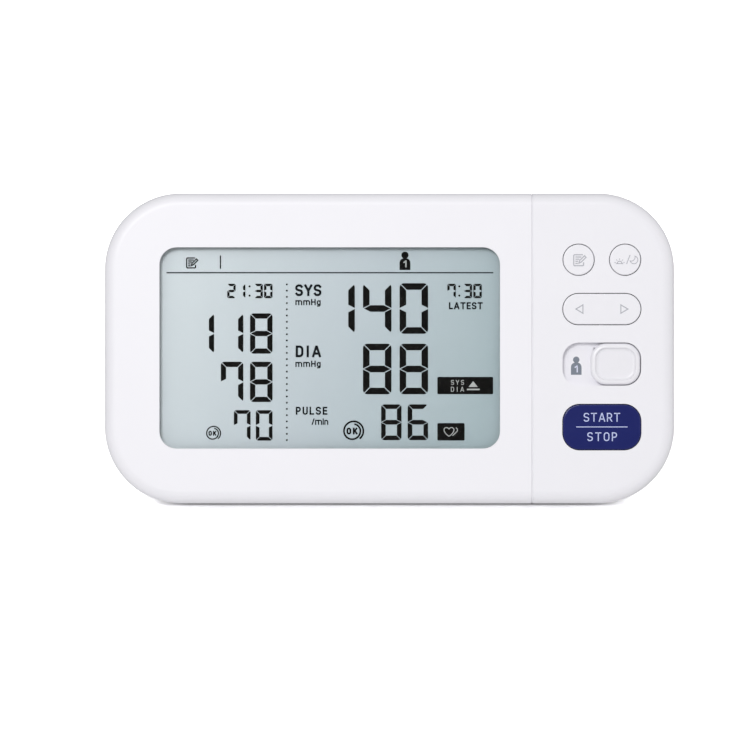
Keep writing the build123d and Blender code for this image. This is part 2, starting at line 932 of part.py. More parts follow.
def user_slider():
    """Knob with a dished top, and its stem through the floor of the pocket."""
    bottom = floor_top + knob_floor_gap
    knob = round_rim(slab(knob_outline(), 0, bottom), knob_edge_radius)
    dish = slab(knob_outline(dish_margin), dish_depth, -dish_depth)
    dish = fillet(dish.edges().group_by(Axis.Z)[0], dish_edge_radius)
    x, y = blade_middle
    blade = plate(x, y, blade_length, blade_thickness, bottom, carrier_top)
    return on_face(knob - dish + blade)


def slider_carrier():
    """Bar under the pocket that links the knob to the switch's lever."""
    top_y = blade_middle[1] + blade_thickness / 2 + carrier_margin
    half = carrier_width / 2
    bar = block(
        knob_x - half, knob_x + half, pocket_y - carrier_drop, top_y, carrier_bottom, carrier_top
    )
    inner = lever_size / 2 + fork_gap
    for side in (-1, 1):
        x0, x1 = sorted((knob_x + side * inner, knob_x + side * (inner + fork_thickness)))
        y0 = pocket_y - lever_size
        y1 = pocket_y + lever_size
        bar += block(x0, x1, y0, y1, slide_switch_top + fork_switch_gap, carrier_bottom)
    return on_face(bar)


def slide_switch():
    inner = lever_size / 2 + lever_clearance
    outer = inner + slide_switch_end
    half = slide_switch_width / 2
    body = block(
        knob_x - slide_travel - outer,
        knob_x + outer,
        pocket_y - half,
        pocket_y + half,
        board_front,
        slide_switch_top,
    )
    slot = block(
        knob_x - slide_travel - inner,
        knob_x + inner,
        pocket_y - inner,
        pocket_y + inner,
        slide_switch_top - lever_buried - lever_clearance,
        slide_switch_top,
    )
    return on_face(body - slot)


def slide_switch_lever():
    top = carrier_bottom - lever_carrier_gap
    return on_face(plate(knob_x, pocket_y, lever_size, lever_size, top, slide_switch_top - lever_buried))


# ---- Battery bay ----
bay_length = cells_per_row * cell_length + bay_contact_room
bay_height = 2 * cell_diameter + 3 * cell_clearance
bay_depth = cell_diameter + cell_clearance
bay_floor = -(battery_cover_thickness + bay_depth)
door_length = bay_length + 2 * bay_ledge
door_height = bay_height + 2 * bay_ledge
cell_z = -(battery_cover_thickness + bay_depth / 2)
cell_y = (cell_diameter + cell_clearance) / 2


def door_outline(grow=0.0):
    return RectangleRounded(
        door_length + 2 * grow, door_height + 2 * grow, battery_cover_corner_radius + grow
    )


def bay_body():
    """Ledge under the cover's rim and the box that holds the cells."""
    ledge = slab(door_outline(bay_wall), -wall / 2, -(battery_cover_thickness + bay_wall))
    length = bay_length + 2 * bay_wall
    height = bay_height + 2 * bay_wall
    box = plate(0, 0, length, height, -battery_cover_thickness, bay_floor - bay_wall)
    return on_slope(ledge + box)


def tab_places():
    return (-tab_spacing / 2, tab_spacing / 2)


def tab_notch(x):
    """Round notch, about the cover's hinge line, that its tab swings in."""
    hinge_y = -door_height / 2
    reach = sqrt(tab_reach**2 + (battery_cover_thickness + tab_thickness) ** 2) + tab_gap
    half = tab_width / 2 + tab_gap
    skin = battery_cover_thickness - tab_gap
    swing = rod_x(x - half, x + half, hinge_y, 0, reach)
    return swing & block(x - half, x + half, hinge_y - reach, hinge_y + reach, -far, -skin)


def bay_cuts():
    """Everything that is cut for the cells, the cover, its tabs and its latch."""
    cuts = slab(door_outline(), wall, -battery_cover_thickness)
    cuts += plate(0, 0, bay_length, bay_height, 0, bay_floor)
    for x in tab_places():
        cuts += tab_notch(x)
    half = latch_width / 2 + latch_clearance
    end = door_height / 2 + latch_reach + latch_clearance
    cuts += block(-half, half, 0, end, -battery_cover_thickness, wall)
    return on_slope(cuts)


def battery_cover():
    """Cover that tips open about its lower edge, with two tabs, a latch and grip ridges."""
    cover = slab(door_outline(-battery_cover_clearance), 0, -battery_cover_thickness)
    lower = -door_height / 2
    bottom = -battery_cover_thickness
    for x in tab_places():
        x0 = x - tab_width / 2
        x1 = x + tab_width / 2
        cover += block(x0, x1, lower - tab_reach, lower + tab_root, bottom - tab_thickness, bottom)
    upper = door_height / 2
    half = latch_width / 2
    cover += block(-half, half, 0, upper + latch_reach, bottom, bottom + latch_thickness)
    for index in range(grip_ridge_count):
        y = upper - grip_ridge_drop - index * grip_ridge_pitch
        cover += plate(0, y, grip_ridge_length, grip_ridge_width, grip_ridge_height, 0)
    return on_slope(cover)


cell_start = contact_thickness - bay_length / 2
spring_length = bay_contact_room - 2 * contact_thickness


def turned(piece, direction):
    """Turns a row of the bay end for end."""
    return piece if direction > 0 else Rot(0, 0, 180) * piece


def cell_row(direction):
    """Cells in line; the second row lies the other way round."""
    cells = []
    for index in range(cells_per_row):
        start = cell_start + index * cell_length
        nub = rod_x(start, start + cell_nub_length, cell_y, cell_z, cell_nub_radius)
        body = rod_x(start + cell_nub_length, start + cell_length, cell_y, cell_z, cell_diameter / 2)
        cells.append(on_slope(turned(nub + body, direction)))
    return cells


def cell_spring(direction):
    """Coil spring behind the last cell of a row."""
    start = cell_start + cells_per_row * cell_length + spring_gap + spring_wire_radius
    height = spring_length - 2 * (spring_gap + spring_wire_radius)
    coil = Helix(height / spring_coils, height, spring_radius)
    wire = follow(coil, Circle(spring_wire_radius))
    return on_slope(turned(Pos(start, cell_y, cell_z) * Rot(0, 90, 0) * wire, direction))


def battery_contacts():
    """Two single plates at one end of the bay, and one that bridges the rows at the other."""
    inner = bay_length / 2 - contact_thickness
    outer = bay_length / 2
    low_z = cell_z - contact_height / 2
    high_z = cell_z + contact_height / 2
    half = contact_width / 2
    singles = [block(-outer, -inner, y - half, y + half, low_z, high_z) for y in (-cell_y, cell_y)]
    bridge = block(inner, outer, -cell_y - half, cell_y + half, low_z, high_z)
    return [on_slope(piece) for piece in (*singles, bridge)]


# ---- Rear casing ----
def screw_seat_levels():
    top = -(case_boss_depth + screw_seat_gap)
    return top, top - screw_seat_thickness


def screw_well(x):
    top, _ = screw_seat_levels()
    return on_face(post(x, case_screw_y, screw_well_radius + screw_well_wall, top, -far))


def screw_well_cut(x):
    top, bottom = screw_seat_levels()
    bore = post(x, case_screw_y, screw_well_radius, bottom, -far)
    hole = post(x, case_screw_y, case_screw_radius + screw_seat_clearance, top, bottom)
    return on_face(bore + hole)


def case_screw(x):
    _, bottom = screw_seat_levels()
    shank = post(x, case_screw_y, case_screw_radius, case_screw_tip(), bottom)
    head = post(x, case_screw_y, case_screw_head_radius, bottom, bottom - case_screw_head_height)
    return on_face(shank + head)


def casing_lip():
    """Lip that stands inside the front covers' walls."""
    ring = face_outline(wall + lip_clearance) - face_outline(rear_step + wall)
    return on_face(slab(ring, lip_height - cover_depth, rear_rim))


def snap_hook(x):
    underside, outer_side = hook_levels()
    half = hook_width / 2
    top = underside + hook_barb_length
    inner_side = outer_side - hook_thickness
    finger = block(x - half, x + half, inner_side, outer_side, rear_rim - hook_root, top)
    barb = block(x - half, x + half, outer_side, outer_side + hook_barb, underside, top)
    wall_middle = face_length / 2 - rear_step - wall / 2
    root = block(x - half, x + half, inner_side, wall_middle, rear_rim - hook_root, rear_rim)
    return on_face(finger + barb + root)


def foot_places():
    return [(side * foot_x, y) for side in (-1, 1) for y in (front_foot_y, rear_foot_y)]


def rubber_foot(x, y):
    foot = post(x, y, foot_radius, base_z + foot_recess, 0)
    return fillet(foot.edges().group_by(Axis.Z)[0], foot_edge_radius)


# ---- Pump ----
pump_z = floor_z + pump_radius + pump_floor_gap
line_z = floor_z + air_line_height
head_x = pump_x + pump_cap_thickness + diaphragm_thickness
motor_x = head_x + pump_head_length
motor_end = motor_x + motor_length
can_end = motor_end - motor_end_cap_thickness
barb_radius = tube_bore_radius - barb_clearance
tube_radius = tube_bore_radius + tube_wall
sleeve_radius = motor_radius + sleeve_thickness
sleeve_x = motor_x + (motor_length - cradle_length) / 2
crank_end = motor_x - pump_head_wall - crank_gap
crank_start = crank_end - crank_thickness


def motor_rod(start, end, radius):
    """A cylinder on the motor's axis."""
    return rod_x(start, end, pump_y, pump_z, radius)


def pump_cradle():
    """Saddle on the casing's floor that grips the motor's sleeve."""
    half = sleeve_radius + cradle_wall
    end = sleeve_x + cradle_length
    top = pump_z + cradle_grip
    saddle = block(sleeve_x, end, pump_y - half, pump_y + half, floor_z - wall / 2, top)
    return saddle - motor_rod(sleeve_x, end, sleeve_radius)


def pump_sleeve():
    start = sleeve_x - sleeve_margin
    end = sleeve_x + cradle_length + sleeve_margin
    return motor_rod(start, end, sleeve_radius) - motor_rod(start, end, motor_radius)


def pump_cap():
    """Valve cap on the pump's end, with the outlet barb."""
    end = pump_x + pump_cap_thickness
    cap = motor_rod(pump_x, end, pump_radius)
    cap += rod_x(pump_x - barb_length, pump_x, pump_y, line_z, barb_radius)
    cap -= motor_rod(end - pump_cap_recess, end, pump_radius - pump_head_wall)
    return cap - rod_x(pump_x - barb_length, end, pump_y, line_z, barb_bore_radius)


def cup_places():
    """Middles of the diaphragm's cups, as offsets from the pump's axis."""
    turn = 2 * radians(180) / diaphragm_cups
    return [
        (diaphragm_cup_offset * cos(index * turn), diaphragm_cup_offset * sin(index * turn))
        for index in range(diaphragm_cups)
    ]


def pump_diaphragm():
    """Rubber diaphragm: a disc clamped between the cap and the head, with its cups."""
    start = pump_x + pump_cap_thickness
    disc = motor_rod(start, head_x, pump_radius)
    for y, z in cup_places():
        disc += rod_x(head_x, head_x + diaphragm_cup_depth, pump_y + y, pump_z + z, diaphragm_cup_radius)
    return disc


def pump_head():
    head = motor_rod(head_x, motor_x, pump_radius)
    head -= motor_rod(head_x, motor_x - pump_head_wall, pump_radius - pump_head_wall)
    return head - motor_rod(motor_x - pump_head_wall, motor_x, motor_bush_radius)


def pump_crank():
    """Disc on the motor's shaft with the pin that works the diaphragm."""
    disc = motor_rod(crank_start, crank_end, crank_radius)
    disc -= motor_rod(crank_start, crank_end, motor_shaft_radius)
    pin_y = pump_y + crank_pin_offset
    return disc + rod_x(crank_start - crank_pin_length, crank_start, pin_y, pump_z, crank_pin_radius)


def motor_can():
    can = motor_rod(motor_x, can_end, motor_radius)
    can -= motor_rod(motor_x + motor_can_wall, can_end, motor_radius - motor_can_wall)
    return can - motor_rod(motor_x, motor_x + motor_can_wall, motor_bush_radius)


def motor_end_cap():
    cap = motor_rod(can_end, motor_end, motor_radius)
    return cap - motor_rod(can_end, motor_end, motor_bush_radius)


def motor_bushes():
    """Bearing bushes in the can's front wall and in the end cap."""
    bushes = []
    for start in (motor_x, motor_end - motor_bush_length):
        end = start + motor_bush_length
        bore = motor_rod(start, end, motor_shaft_radius + motor_shaft_clearance)
        bushes.append(motor_rod(start, end, motor_bush_radius) - bore)
    return bushes


def rotor_middle():
    return (motor_x + can_end) / 2


def motor_magnets():
    """Two curved magnets against the inside of the can."""
    start = rotor_middle() - magnet_length / 2
    end = start + magnet_length
    ring = motor_rod(start, end, motor_radius - motor_can_wall - magnet_glue)
    ring -= motor_rod(start, end, armature_radius + armature_gap)
    half = magnet_split / 2
    return ring - block(start, end, pump_y - half, pump_y + half, 0, far)


def motor_armature():
    """Slotted core on the motor's shaft."""
    start = rotor_middle() - armature_length / 2
    end = start + armature_length
    core = motor_rod(start, end, armature_radius)
    inner = armature_radius - armature_slot_depth
    for index in range(armature_slots):
        slot = block(
            start, end, -armature_slot_width / 2, armature_slot_width / 2, inner, 2 * armature_radius
        )
        core -= Pos(0, pump_y, pump_z) * Rot(index * 360 / armature_slots, 0, 0) * slot
    return core + motor_rod(crank_start, motor_end, motor_shaft_radius)


# ---- Air lines, valve and sensor ----
manifold_half = manifold_size / 2
valve_front = pump_y + manifold_half + 2 * barb_length + tube_free_length
valve_back = valve_front + valve_length
yoke_front = valve_front + valve_nozzle_thickness
coil_front = yoke_front + valve_yoke_thickness
coil_back = valve_back - valve_yoke_thickness
valve_terminal_z = line_z + valve_coil_radius + valve_terminal_height
sensor_foot = Vector(manifold_x, pump_y, line_z + manifold_half)
sensor_bend = sensor_foot + Vector(0, 0, sensor_rise)
sensor_y = (sensor_bend - face_frame.origin).dot(up_face)
sensor_back = board_back - sensor_height
jack_outer_x = -rear_side_x - air_jack_flange_thickness
jack_inner_x = jack_outer_x + air_jack_bore_depth + air_jack_end


def air_manifold():
    """Four-way block that joins the pump, the valve, the sensor and the cuff's socket."""
    half = manifold_half
    reach = half + barb_length
    inside = manifold_chamber_radius - manifold_chamber_overlap
    body = Box(manifold_size, manifold_size, manifold_size)
    turns = (Rot(0, 90, 0), Rot(0, -90, 0), Rot(-90, 0, 0), Rot(0, 0, 0))
    for turn in turns:
        body += turn * post(0, 0, barb_radius, reach, inside)
    body -= Sphere(manifold_chamber_radius)
    for turn in turns:
        body -= turn * post(0, 0, barb_bore_radius, reach, inside)
    return Pos(manifold_x, pump_y, line_z) * body


def manifold_stand():
    """Post on the casing's floor, under the manifold."""
    half = manifold_half / 2
    return plate(manifold_x, pump_y, 2 * half, 2 * half, line_z - manifold_half, floor_z - wall / 2)


def valve_nozzle():
    """Valve's seat and chamber, with its barb."""
    x, z = manifold_x, line_z
    side = valve_width / 2
    tall = valve_height / 2
    body = block(x - side, x + side, valve_front, yoke_front, z - tall, z + tall)
    body += rod_y(x, valve_front - barb_length, valve_front, z, barb_radius)
    body -= rod_y(x, yoke_front - valve_chamber_depth, yoke_front, z, valve_chamber_radius)
    return body - rod_y(x, valve_front - barb_length, yoke_front, z, barb_bore_radius)


def valve_yoke():
    """U-shaped steel yoke round the coil."""
    x, z = manifold_x, line_z
    side = valve_width / 2
    tall = valve_height / 2
    yoke = block(x - side, x + side, yoke_front, valve_back, z - tall, z + tall)
    yoke -= block(x - side, x + side, coil_front, coil_back, z - tall + valve_yoke_thickness, z + tall)
    return yoke - rod_y(x, yoke_front, valve_back, z, valve_core_radius + valve_core_clearance)


def valve_coil():
    """Wound coil, with a terminal block on top for its wires."""
    coil = rod_y(manifold_x, coil_front, coil_back, line_z, valve_coil_radius)
    middle_y = (coil_front + coil_back) / 2
    side = valve_terminal_width
    coil += plate(manifold_x, middle_y, side, side, valve_terminal_z, line_z)
    bore = rod_y(manifold_x, coil_front, coil_back, line_z, valve_core_radius + valve_core_clearance)
    return coil - bore


seat_y = yoke_front - valve_chamber_depth
core_shoulder = seat_y + valve_stroke + valve_tip_length


def valve_core():
    """Sliding core; its tip closes the seat at the end of the stroke."""
    tip = rod_y(manifold_x, seat_y + valve_stroke, core_shoulder, line_z, valve_tip_radius)
    return tip + rod_y(manifold_x, core_shoulder, valve_back - valve_core_end, line_z, valve_core_radius)


def valve_spring():
    """Return spring round the core's tip, drawn at its closed length."""
    radius = (valve_tip_radius + valve_core_radius) / 2
    height = valve_tip_length - 2 * valve_spring_wire - 2 * arrow_post_gap
    wire = follow(Helix(height / valve_spring_turns, height, radius), Circle(valve_spring_wire))
    start = seat_y + valve_spring_wire + arrow_post_gap
    return Pos(manifold_x, start, line_z) * Rot(-90, 0, 0) * wire


def valve_stand():
    """Pad under the valve, with a clip on each side of it."""
    x = manifold_x
    bottom = line_z - valve_height / 2
    inner = valve_width / 2 + valve_clip_clearance
    outer = inner + valve_clip_thickness
    top = bottom + valve_clip_height
    stand = block(x - outer, x + outer, yoke_front, valve_back, floor_z - wall / 2, top)
    return stand - block(x - inner, x + inner, yoke_front, valve_back, bottom, far)


def pressure_sensor():
    """Sensor on the back of the board, with its port pointing at the manifold."""
    body = plate(manifold_x, sensor_y, sensor_size, sensor_size, board_back, sensor_back)
    body += post(manifold_x, sensor_y, barb_radius, sensor_back, sensor_back - barb_length)
    bore = post(manifold_x, sensor_y, barb_bore_radius, sensor_back, sensor_back - barb_length)
    return on_face(body - bore)


def air_tubes():
    """Soft tubes from the manifold to the pump, the valve, the sensor and the cuff's socket."""
    left = manifold_x - manifold_half
    right = manifold_x + manifold_half
    back = pump_y + manifold_half
    jack_line = Vector(jack_inner_x, air_jack_y, air_jack_z)
    left_end = Vector(left, pump_y, line_z)
    routes = [
        Line((right, pump_y, line_z), (pump_x, pump_y, line_z)),
        Line((manifold_x, back, line_z), (manifold_x, valve_front, line_z)),
        soft_path([sensor_foot, sensor_bend, face_point(manifold_x, sensor_y, sensor_back)]),
        soft_path(
            [
                left_end,
                left_end - Vector(jack_tube_step, 0, 0),
                jack_line + Vector(jack_tube_step, 0, 0),
                jack_line,
            ]
        ),
    ]
    section = Circle(tube_radius) - Circle(tube_bore_radius)
    return [follow(route, section) for route in routes]


# ---- Sockets ----
def air_jack():
    """Socket for the cuff's air plug, through the left wall."""
    y, z = air_jack_y, air_jack_z
    wall_x = -rear_side_x
    jack = rod_x(jack_outer_x, wall_x, y, z, air_jack_flange_radius)
    jack += rod_x(jack_outer_x, jack_inner_x, y, z, air_jack_barrel_radius)
    jack += rod_x(jack_inner_x, jack_inner_x + barb_length, y, z, barb_radius)
    jack -= rod_x(jack_outer_x, jack_outer_x + air_jack_bore_depth, y, z, air_jack_bore_radius)
    return jack - rod_x(jack_outer_x, jack_inner_x + barb_length, y, z, barb_bore_radius)


def air_jack_nut():
    start = -inner_side_x
    end = start + air_jack_nut_thickness
    nut = rod_x(start, end, air_jack_y, air_jack_z, air_jack_nut_radius)
    return nut - rod_x(start, end, air_jack_y, air_jack_z, air_jack_barrel_radius)


dc_body_x = inner_side_x - dc_jack_body_length


def dc_jack():
    """Socket for the mains adapter's plug, through the right wall."""
    y, z = dc_jack_y, dc_jack_z
    half = dc_jack_body_width / 2
    jack = block(dc_body_x, inner_side_x, y - half, y + half, z - half, z + half)
    jack += rod_x(inner_side_x, rear_side_x, y, z, dc_jack_nose_radius)
    jack -= rod_x(rear_side_x - dc_jack_bore_depth, rear_side_x, y, z, dc_jack_bore_radius)
    return jack - rod_x(dc_body_x, rear_side_x, y, z, dc_jack_pin_radius)


def dc_jack_pin():
    return rod_x(dc_body_x, rear_side_x - dc_jack_pin_recess, dc_jack_y, dc_jack_z, dc_jack_pin_radius)


def dc_jack_shelf():
    """Shelf on the casing's floor and side wall, under the adapter's socket."""
    half = dc_jack_body_width / 2
    top = dc_jack_z - half
    return block(
        dc_body_x, inner_side_x + wall / 2, dc_jack_y - half, dc_jack_y + half, floor_z - wall / 2, top
    )


def rear_casing():
    outer = rear_form()
    shell = outer - rear_form(wall)
    inside = bay_body()
    for x in case_screw_places:
        inside += screw_well(x)
    shell += inside & outer
    for stand in (pump_cradle(), manifold_stand(), valve_stand(), dc_jack_shelf()):
        shell += stand
    shell += casing_lip()
    for x in hook_places:
        shell += snap_hook(x)
    shell -= bay_cuts()
    for x in case_screw_places:
        shell -= screw_well_cut(x)
    for x, y in foot_places():
        shell -= post(x, y, foot_radius, base_z + foot_recess, 0)
    jack_hole = air_jack_barrel_radius + socket_clearance
    shell -= rod_x(-rear_side_x, -inner_side_x, air_jack_y, air_jack_z, jack_hole)
    nose_hole = dc_jack_nose_radius + socket_clearance
    shell -= rod_x(inner_side_x, rear_side_x, dc_jack_y, dc_jack_z, nose_hole)
    return shell


# ---- Wiring ----
def wire_pair(points, spread):
    """Two wires side by side along one route."""
    wires = []
    for side in (-1, 1):
        shift = spread * (side * wire_pitch / 2)
        wires.append(follow(soft_path([point + shift for point in points]), Circle(wire_radius)))
    return wires


def plug_end(place):
    """The last two points of a route: behind a plug on the board, and at its back."""
    x, y = place
    return [face_point(x, y, plug_back - wire_exit), face_point(x, y, plug_back)]


def wiring():
    across = Vector(1, 0, 0)
    bay_end = bay_point(bay_length / 2 + bay_wall, 0, cell_z)
    motor_tag = Vector(motor_end, pump_y, pump_z + motor_radius / 2)
    coil_tag = Vector(manifold_x, (coil_front + coil_back) / 2, valve_terminal_z)
    socket_tag = Vector(dc_body_x, dc_jack_y, dc_jack_z)
    reach = Vector(wire_exit, 0, 0)
    battery = [bay_end, bay_end - reach, *plug_end(battery_plug_place)]
    pump = [motor_tag, motor_tag + reach, *plug_end(pump_plug_place)]
    valve = [coil_tag, coil_tag + Vector(0, 0, valve_wire_rise), *plug_end(valve_plug_place)]
    socket = [socket_tag, socket_tag - reach, *plug_end(dc_plug_place)]
    return (
        wire_pair(battery, up_face)
        + wire_pair(pump, up_face)
        + wire_pair(valve, across)
        + wire_pair(socket, up_face)
    )


# ---- The assembly ----
save("display_cover", display_cover())
save("control_cover", control_cover())
save("rear_casing", rear_casing())
save("window_lens", window_lens())
save("window_tape", window_tape())
save("lcd_polariser", display_sheet(polariser_top, polariser_thickness, polariser_margin, 0))
save("lcd_front_glass", display_sheet(front_glass_top, glass_thickness, 0, 0))
save("lcd_rear_glass", display_sheet(rear_glass_top, glass_thickness, 0, lcd_ledge))
save("lcd_reflector", display_sheet(reflector_top, reflector_thickness, 0, lcd_ledge))
save("lcd_frame", lcd_frame())
save("zebra_connector", zebra_connector())
save("main_board", main_board())
save("board_screws", *[board_screw(x, y) for x, y in board_screw_places])
save("microcontroller", microcontroller())
save("buzzer", buzzer())
save("capacitors", *[capacitor(x, y) for x, y in capacitor_places])
save(
    "board_plugs",
    *[plug(place) for place in (battery_plug_place, pump_plug_place, valve_plug_place, dc_plug_place)],
)
save("tact_switches", *[tact_switch(x, y) for x, y in switch_places])
plunger_names = ("memory_plunger", "average_plunger", "left_plunger", "right_plunger", "start_plunger")
for plunger_name, (plunger_x, plunger_y) in zip(plunger_names, switch_places):
    save(plunger_name, plunger(plunger_x, plunger_y))
save("memory_key", round_key(memory_x))
save("average_key", round_key(average_x))
save("arrow_rocker", arrow_rocker())
save("start_key", start_key())
save("user_slider", user_slider())
save("slider_carrier", slider_carrier())
save("slide_switch", slide_switch())
save("slide_switch_lever", slide_switch_lever())
save("battery_cover", battery_cover())
save("battery_cells", *cell_row(1), *cell_row(-1))
save("battery_springs", cell_spring(1), cell_spring(-1))
save("battery_contacts", *battery_contacts())
save("case_screws", *[case_screw(x) for x in case_screw_places])
save("rubber_feet", *[rubber_foot(x, y) for x, y in foot_places()])
save("pump_cap", pump_cap())
save("pump_diaphragm", pump_diaphragm())
save("pump_head", pump_head())
save("pump_crank", pump_crank())
save("pump_sleeve", pump_sleeve())
save("motor_can", motor_can())
save("motor_end_cap", motor_end_cap())
save("motor_bushes", *motor_bushes())
save("motor_magnets", motor_magnets())
save("motor_armature", motor_armature())
save("air_manifold", air_manifold())
save("air_tubes", *air_tubes())
save("pressure_sensor", pressure_sensor())
save("valve_nozzle", valve_nozzle())
save("valve_yoke", valve_yoke())
save("valve_coil", valve_coil())
save("valve_core", valve_core())
save("valve_spring", valve_spring())
save("air_jack", air_jack())
save("air_jack_nut", air_jack_nut())
save("dc_jack", dc_jack())
save("dc_jack_pin", dc_jack_pin())
save("wiring", *wiring())
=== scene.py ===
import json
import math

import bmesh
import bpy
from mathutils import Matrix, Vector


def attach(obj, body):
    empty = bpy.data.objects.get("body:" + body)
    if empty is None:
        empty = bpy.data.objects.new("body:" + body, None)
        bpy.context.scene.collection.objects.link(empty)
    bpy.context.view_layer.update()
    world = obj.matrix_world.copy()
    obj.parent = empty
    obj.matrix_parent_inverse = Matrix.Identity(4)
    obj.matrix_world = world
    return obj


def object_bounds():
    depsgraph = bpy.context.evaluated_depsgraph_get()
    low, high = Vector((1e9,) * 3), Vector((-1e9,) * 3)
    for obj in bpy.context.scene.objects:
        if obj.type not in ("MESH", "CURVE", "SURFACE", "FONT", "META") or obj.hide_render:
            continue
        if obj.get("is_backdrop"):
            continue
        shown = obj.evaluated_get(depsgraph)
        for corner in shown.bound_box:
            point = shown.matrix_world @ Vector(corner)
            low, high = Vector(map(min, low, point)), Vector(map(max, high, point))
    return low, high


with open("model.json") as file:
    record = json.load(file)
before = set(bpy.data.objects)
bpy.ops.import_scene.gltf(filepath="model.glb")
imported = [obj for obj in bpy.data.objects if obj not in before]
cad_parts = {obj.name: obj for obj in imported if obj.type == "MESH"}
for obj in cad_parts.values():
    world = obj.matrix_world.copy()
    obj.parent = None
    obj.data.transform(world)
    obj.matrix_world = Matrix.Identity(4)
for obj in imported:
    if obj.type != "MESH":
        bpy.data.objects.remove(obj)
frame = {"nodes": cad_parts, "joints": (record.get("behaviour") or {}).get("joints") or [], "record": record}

# %% [markdown]
# # A tabletop blood pressure monitor: its finishes and its printed marks
#
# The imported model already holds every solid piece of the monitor: its two front covers, the rear
# casing, the window, the keys, the slider, and the pump, valve, board and battery bay inside. This
# lesson gives each of them the finish of its real material and adds the pieces that are too thin to be
# solids there: the dark figures of the display and the marks printed on the keys. It ends with a plain
# studio and a camera that looks square at the face.

MM = 0.001
cad_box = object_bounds()
nodes = frame["nodes"]
joints = {joint["name"]: joint for joint in frame["joints"]}

# %% [markdown]
# ## The face's own frame
#
# The face leans back by 45 degrees, and everything that is printed on it is easier to draw flat. Two
# joints already know the lean: the rocking key turns about an axis that runs up the face, and the round
# keys slide along the line that points out of it. Their axes and the rocking key's pivot give a matrix
# from millimetres on the face (X across, Y up, Z out of it, zero at its middle) to the model's metres.
# Writing the lean down again as an angle would work as well, but it could drift from the model.

# %% A matrix from the face's millimetres to metres
KEY_COLUMN_X = 71.05  # middle of the column of keys
ARROW_KEY_Y = 13.1
ARROW_PIVOT_DEPTH = 4.2  # the rocking key's pivot below the face

across = Vector((1, 0, 0))
up_face = Vector(joints["arrow_tilt"]["axis"]).normalized()
out_face = Vector(joints["memory_press"]["axis"]).normalized()
pivot = Vector(joints["arrow_tilt"]["pos_m"])
face_middle = pivot - MM * (
    KEY_COLUMN_X * across + ARROW_KEY_Y * up_face - ARROW_PIVOT_DEPTH * out_face
)
turn = Matrix((across, up_face, out_face)).transposed().to_4x4()
on_face = Matrix.Translation(face_middle) @ turn @ Matrix.Scale(MM, 4)
print("middle of the face, in mm:", [round(value / MM, 2) for value in face_middle])

# %% [markdown]
# ## Making a material
#
# Every finish below is a small node tree: texture coordinates, a pattern or two, and the Principled
# shader. A few helpers keep them short. `colour` turns an sRGB hex value, as a paint chip gives it, into
# the linear numbers that the renderer works with. `add` makes one node and fills its sockets, with a
# value or with another node's output. `new_material` makes the shader and its output. The helpers after
# them each make one kind of node.

# %% Helpers for materials
def colour(hex_value):
    """An sRGB hex value as linear red, green, blue and alpha."""
    channels = [int(hex_value[index : index + 2], 16) / 255 for index in (0, 2, 4)]
    linear = [c / 12.92 if c <= 0.04045 else ((c + 0.055) / 1.055) ** 2.4 for c in channels]
    return (*linear, 1.0)


def add(tree, kind, inputs=None, **properties):
    """One node; `inputs` gives a value or another node's output for each socket."""
    node = tree.nodes.new(kind)
    for name, value in properties.items():
        setattr(node, name, value)
    for name, value in (inputs or {}).items():
        if isinstance(value, bpy.types.NodeSocket):
            tree.links.new(value, node.inputs[name])
        else:
            node.inputs[name].default_value = value
    return node


def link_to(tree, shader, **sources):
    """Links outputs to the shader's sockets; each is named with _ for a space."""
    for name, source in sources.items():
        tree.links.new(source, shader.inputs[name.replace("_", " ")])


def new_material(name, **values):
    """A material with a Principled shader; `values` are its plain settings, with _ for a space."""
    material = bpy.data.materials.new(name)
    material.use_nodes = True
    tree = material.node_tree
    tree.nodes.clear()
    shader = add(tree, "ShaderNodeBsdfPrincipled")
    for setting, value in values.items():
        shader.inputs[setting.replace("_", " ")].default_value = value
    add(tree, "ShaderNodeOutputMaterial", {"Surface": shader.outputs["BSDF"]})
    return material, tree, shader


def mixed(tree, share, first, second):
    return add(tree, "ShaderNodeMixShader", {0: share, 1: first, 2: second}).outputs[0]


def end_with(tree, surface):
    """Makes a mix of shaders the material's surface."""
    output = next(node for node in tree.nodes if node.type == "OUTPUT_MATERIAL")
    tree.links.new(surface, output.inputs["Surface"])


# %% Helpers for places, sums and patterns
def spot(tree):
    """Where on the piece a point is, in metres."""
    return add(tree, "ShaderNodeTexCoord").outputs["Object"]


def parts_of(tree, place):
    """The X, Y and Z of a place."""
    return add(tree, "ShaderNodeSeparateXYZ", {"Vector": place}).outputs


def distance_along(tree, place, direction):
    """How far a place lies along a direction."""
    vectors = {0: place, 1: direction}
    return add(tree, "ShaderNodeVectorMath", vectors, operation="DOT_PRODUCT").outputs["Value"]


def calculate(tree, operation, first, second=0.0):
    """The result of one sum."""
    return add(tree, "ShaderNodeMath", {0: first, 1: second}, operation=operation).outputs[0]


def varied(tree, source, low, high):
    """A number that follows a pattern between two values."""
    return add(tree, "ShaderNodeMapRange", {"Value": source, "To Min": low, "To Max": high}).outputs[0]


def blend(tree, share, low, high):
    """A blend of two colours, each a hex value or a node's output."""
    low, high = (colour(end) if isinstance(end, str) else end for end in (low, high))
    return add(tree, "ShaderNodeMix", {0: share, 6: low, 7: high}, data_type="RGBA").outputs[2]


def noise(tree, size_mm, stretch, detail):
    """A random pattern with patches of the given size, longer where `stretch` is below 1."""
    place = add(tree, "ShaderNodeMapping", {"Vector": spot(tree), "Scale": stretch}).outputs[0]
    settings = {"Vector": place, "Scale": 1 / (size_mm * MM), "Detail": detail}
    return add(tree, "ShaderNodeTexNoise", settings).outputs[0]


def mottled(tree, low, high, size_mm, stretch=(1, 1, 1)):
    """A soft random blend of two colours, with patches of the given size."""
    return blend(tree, noise(tree, size_mm, stretch, 2.0), low, high)


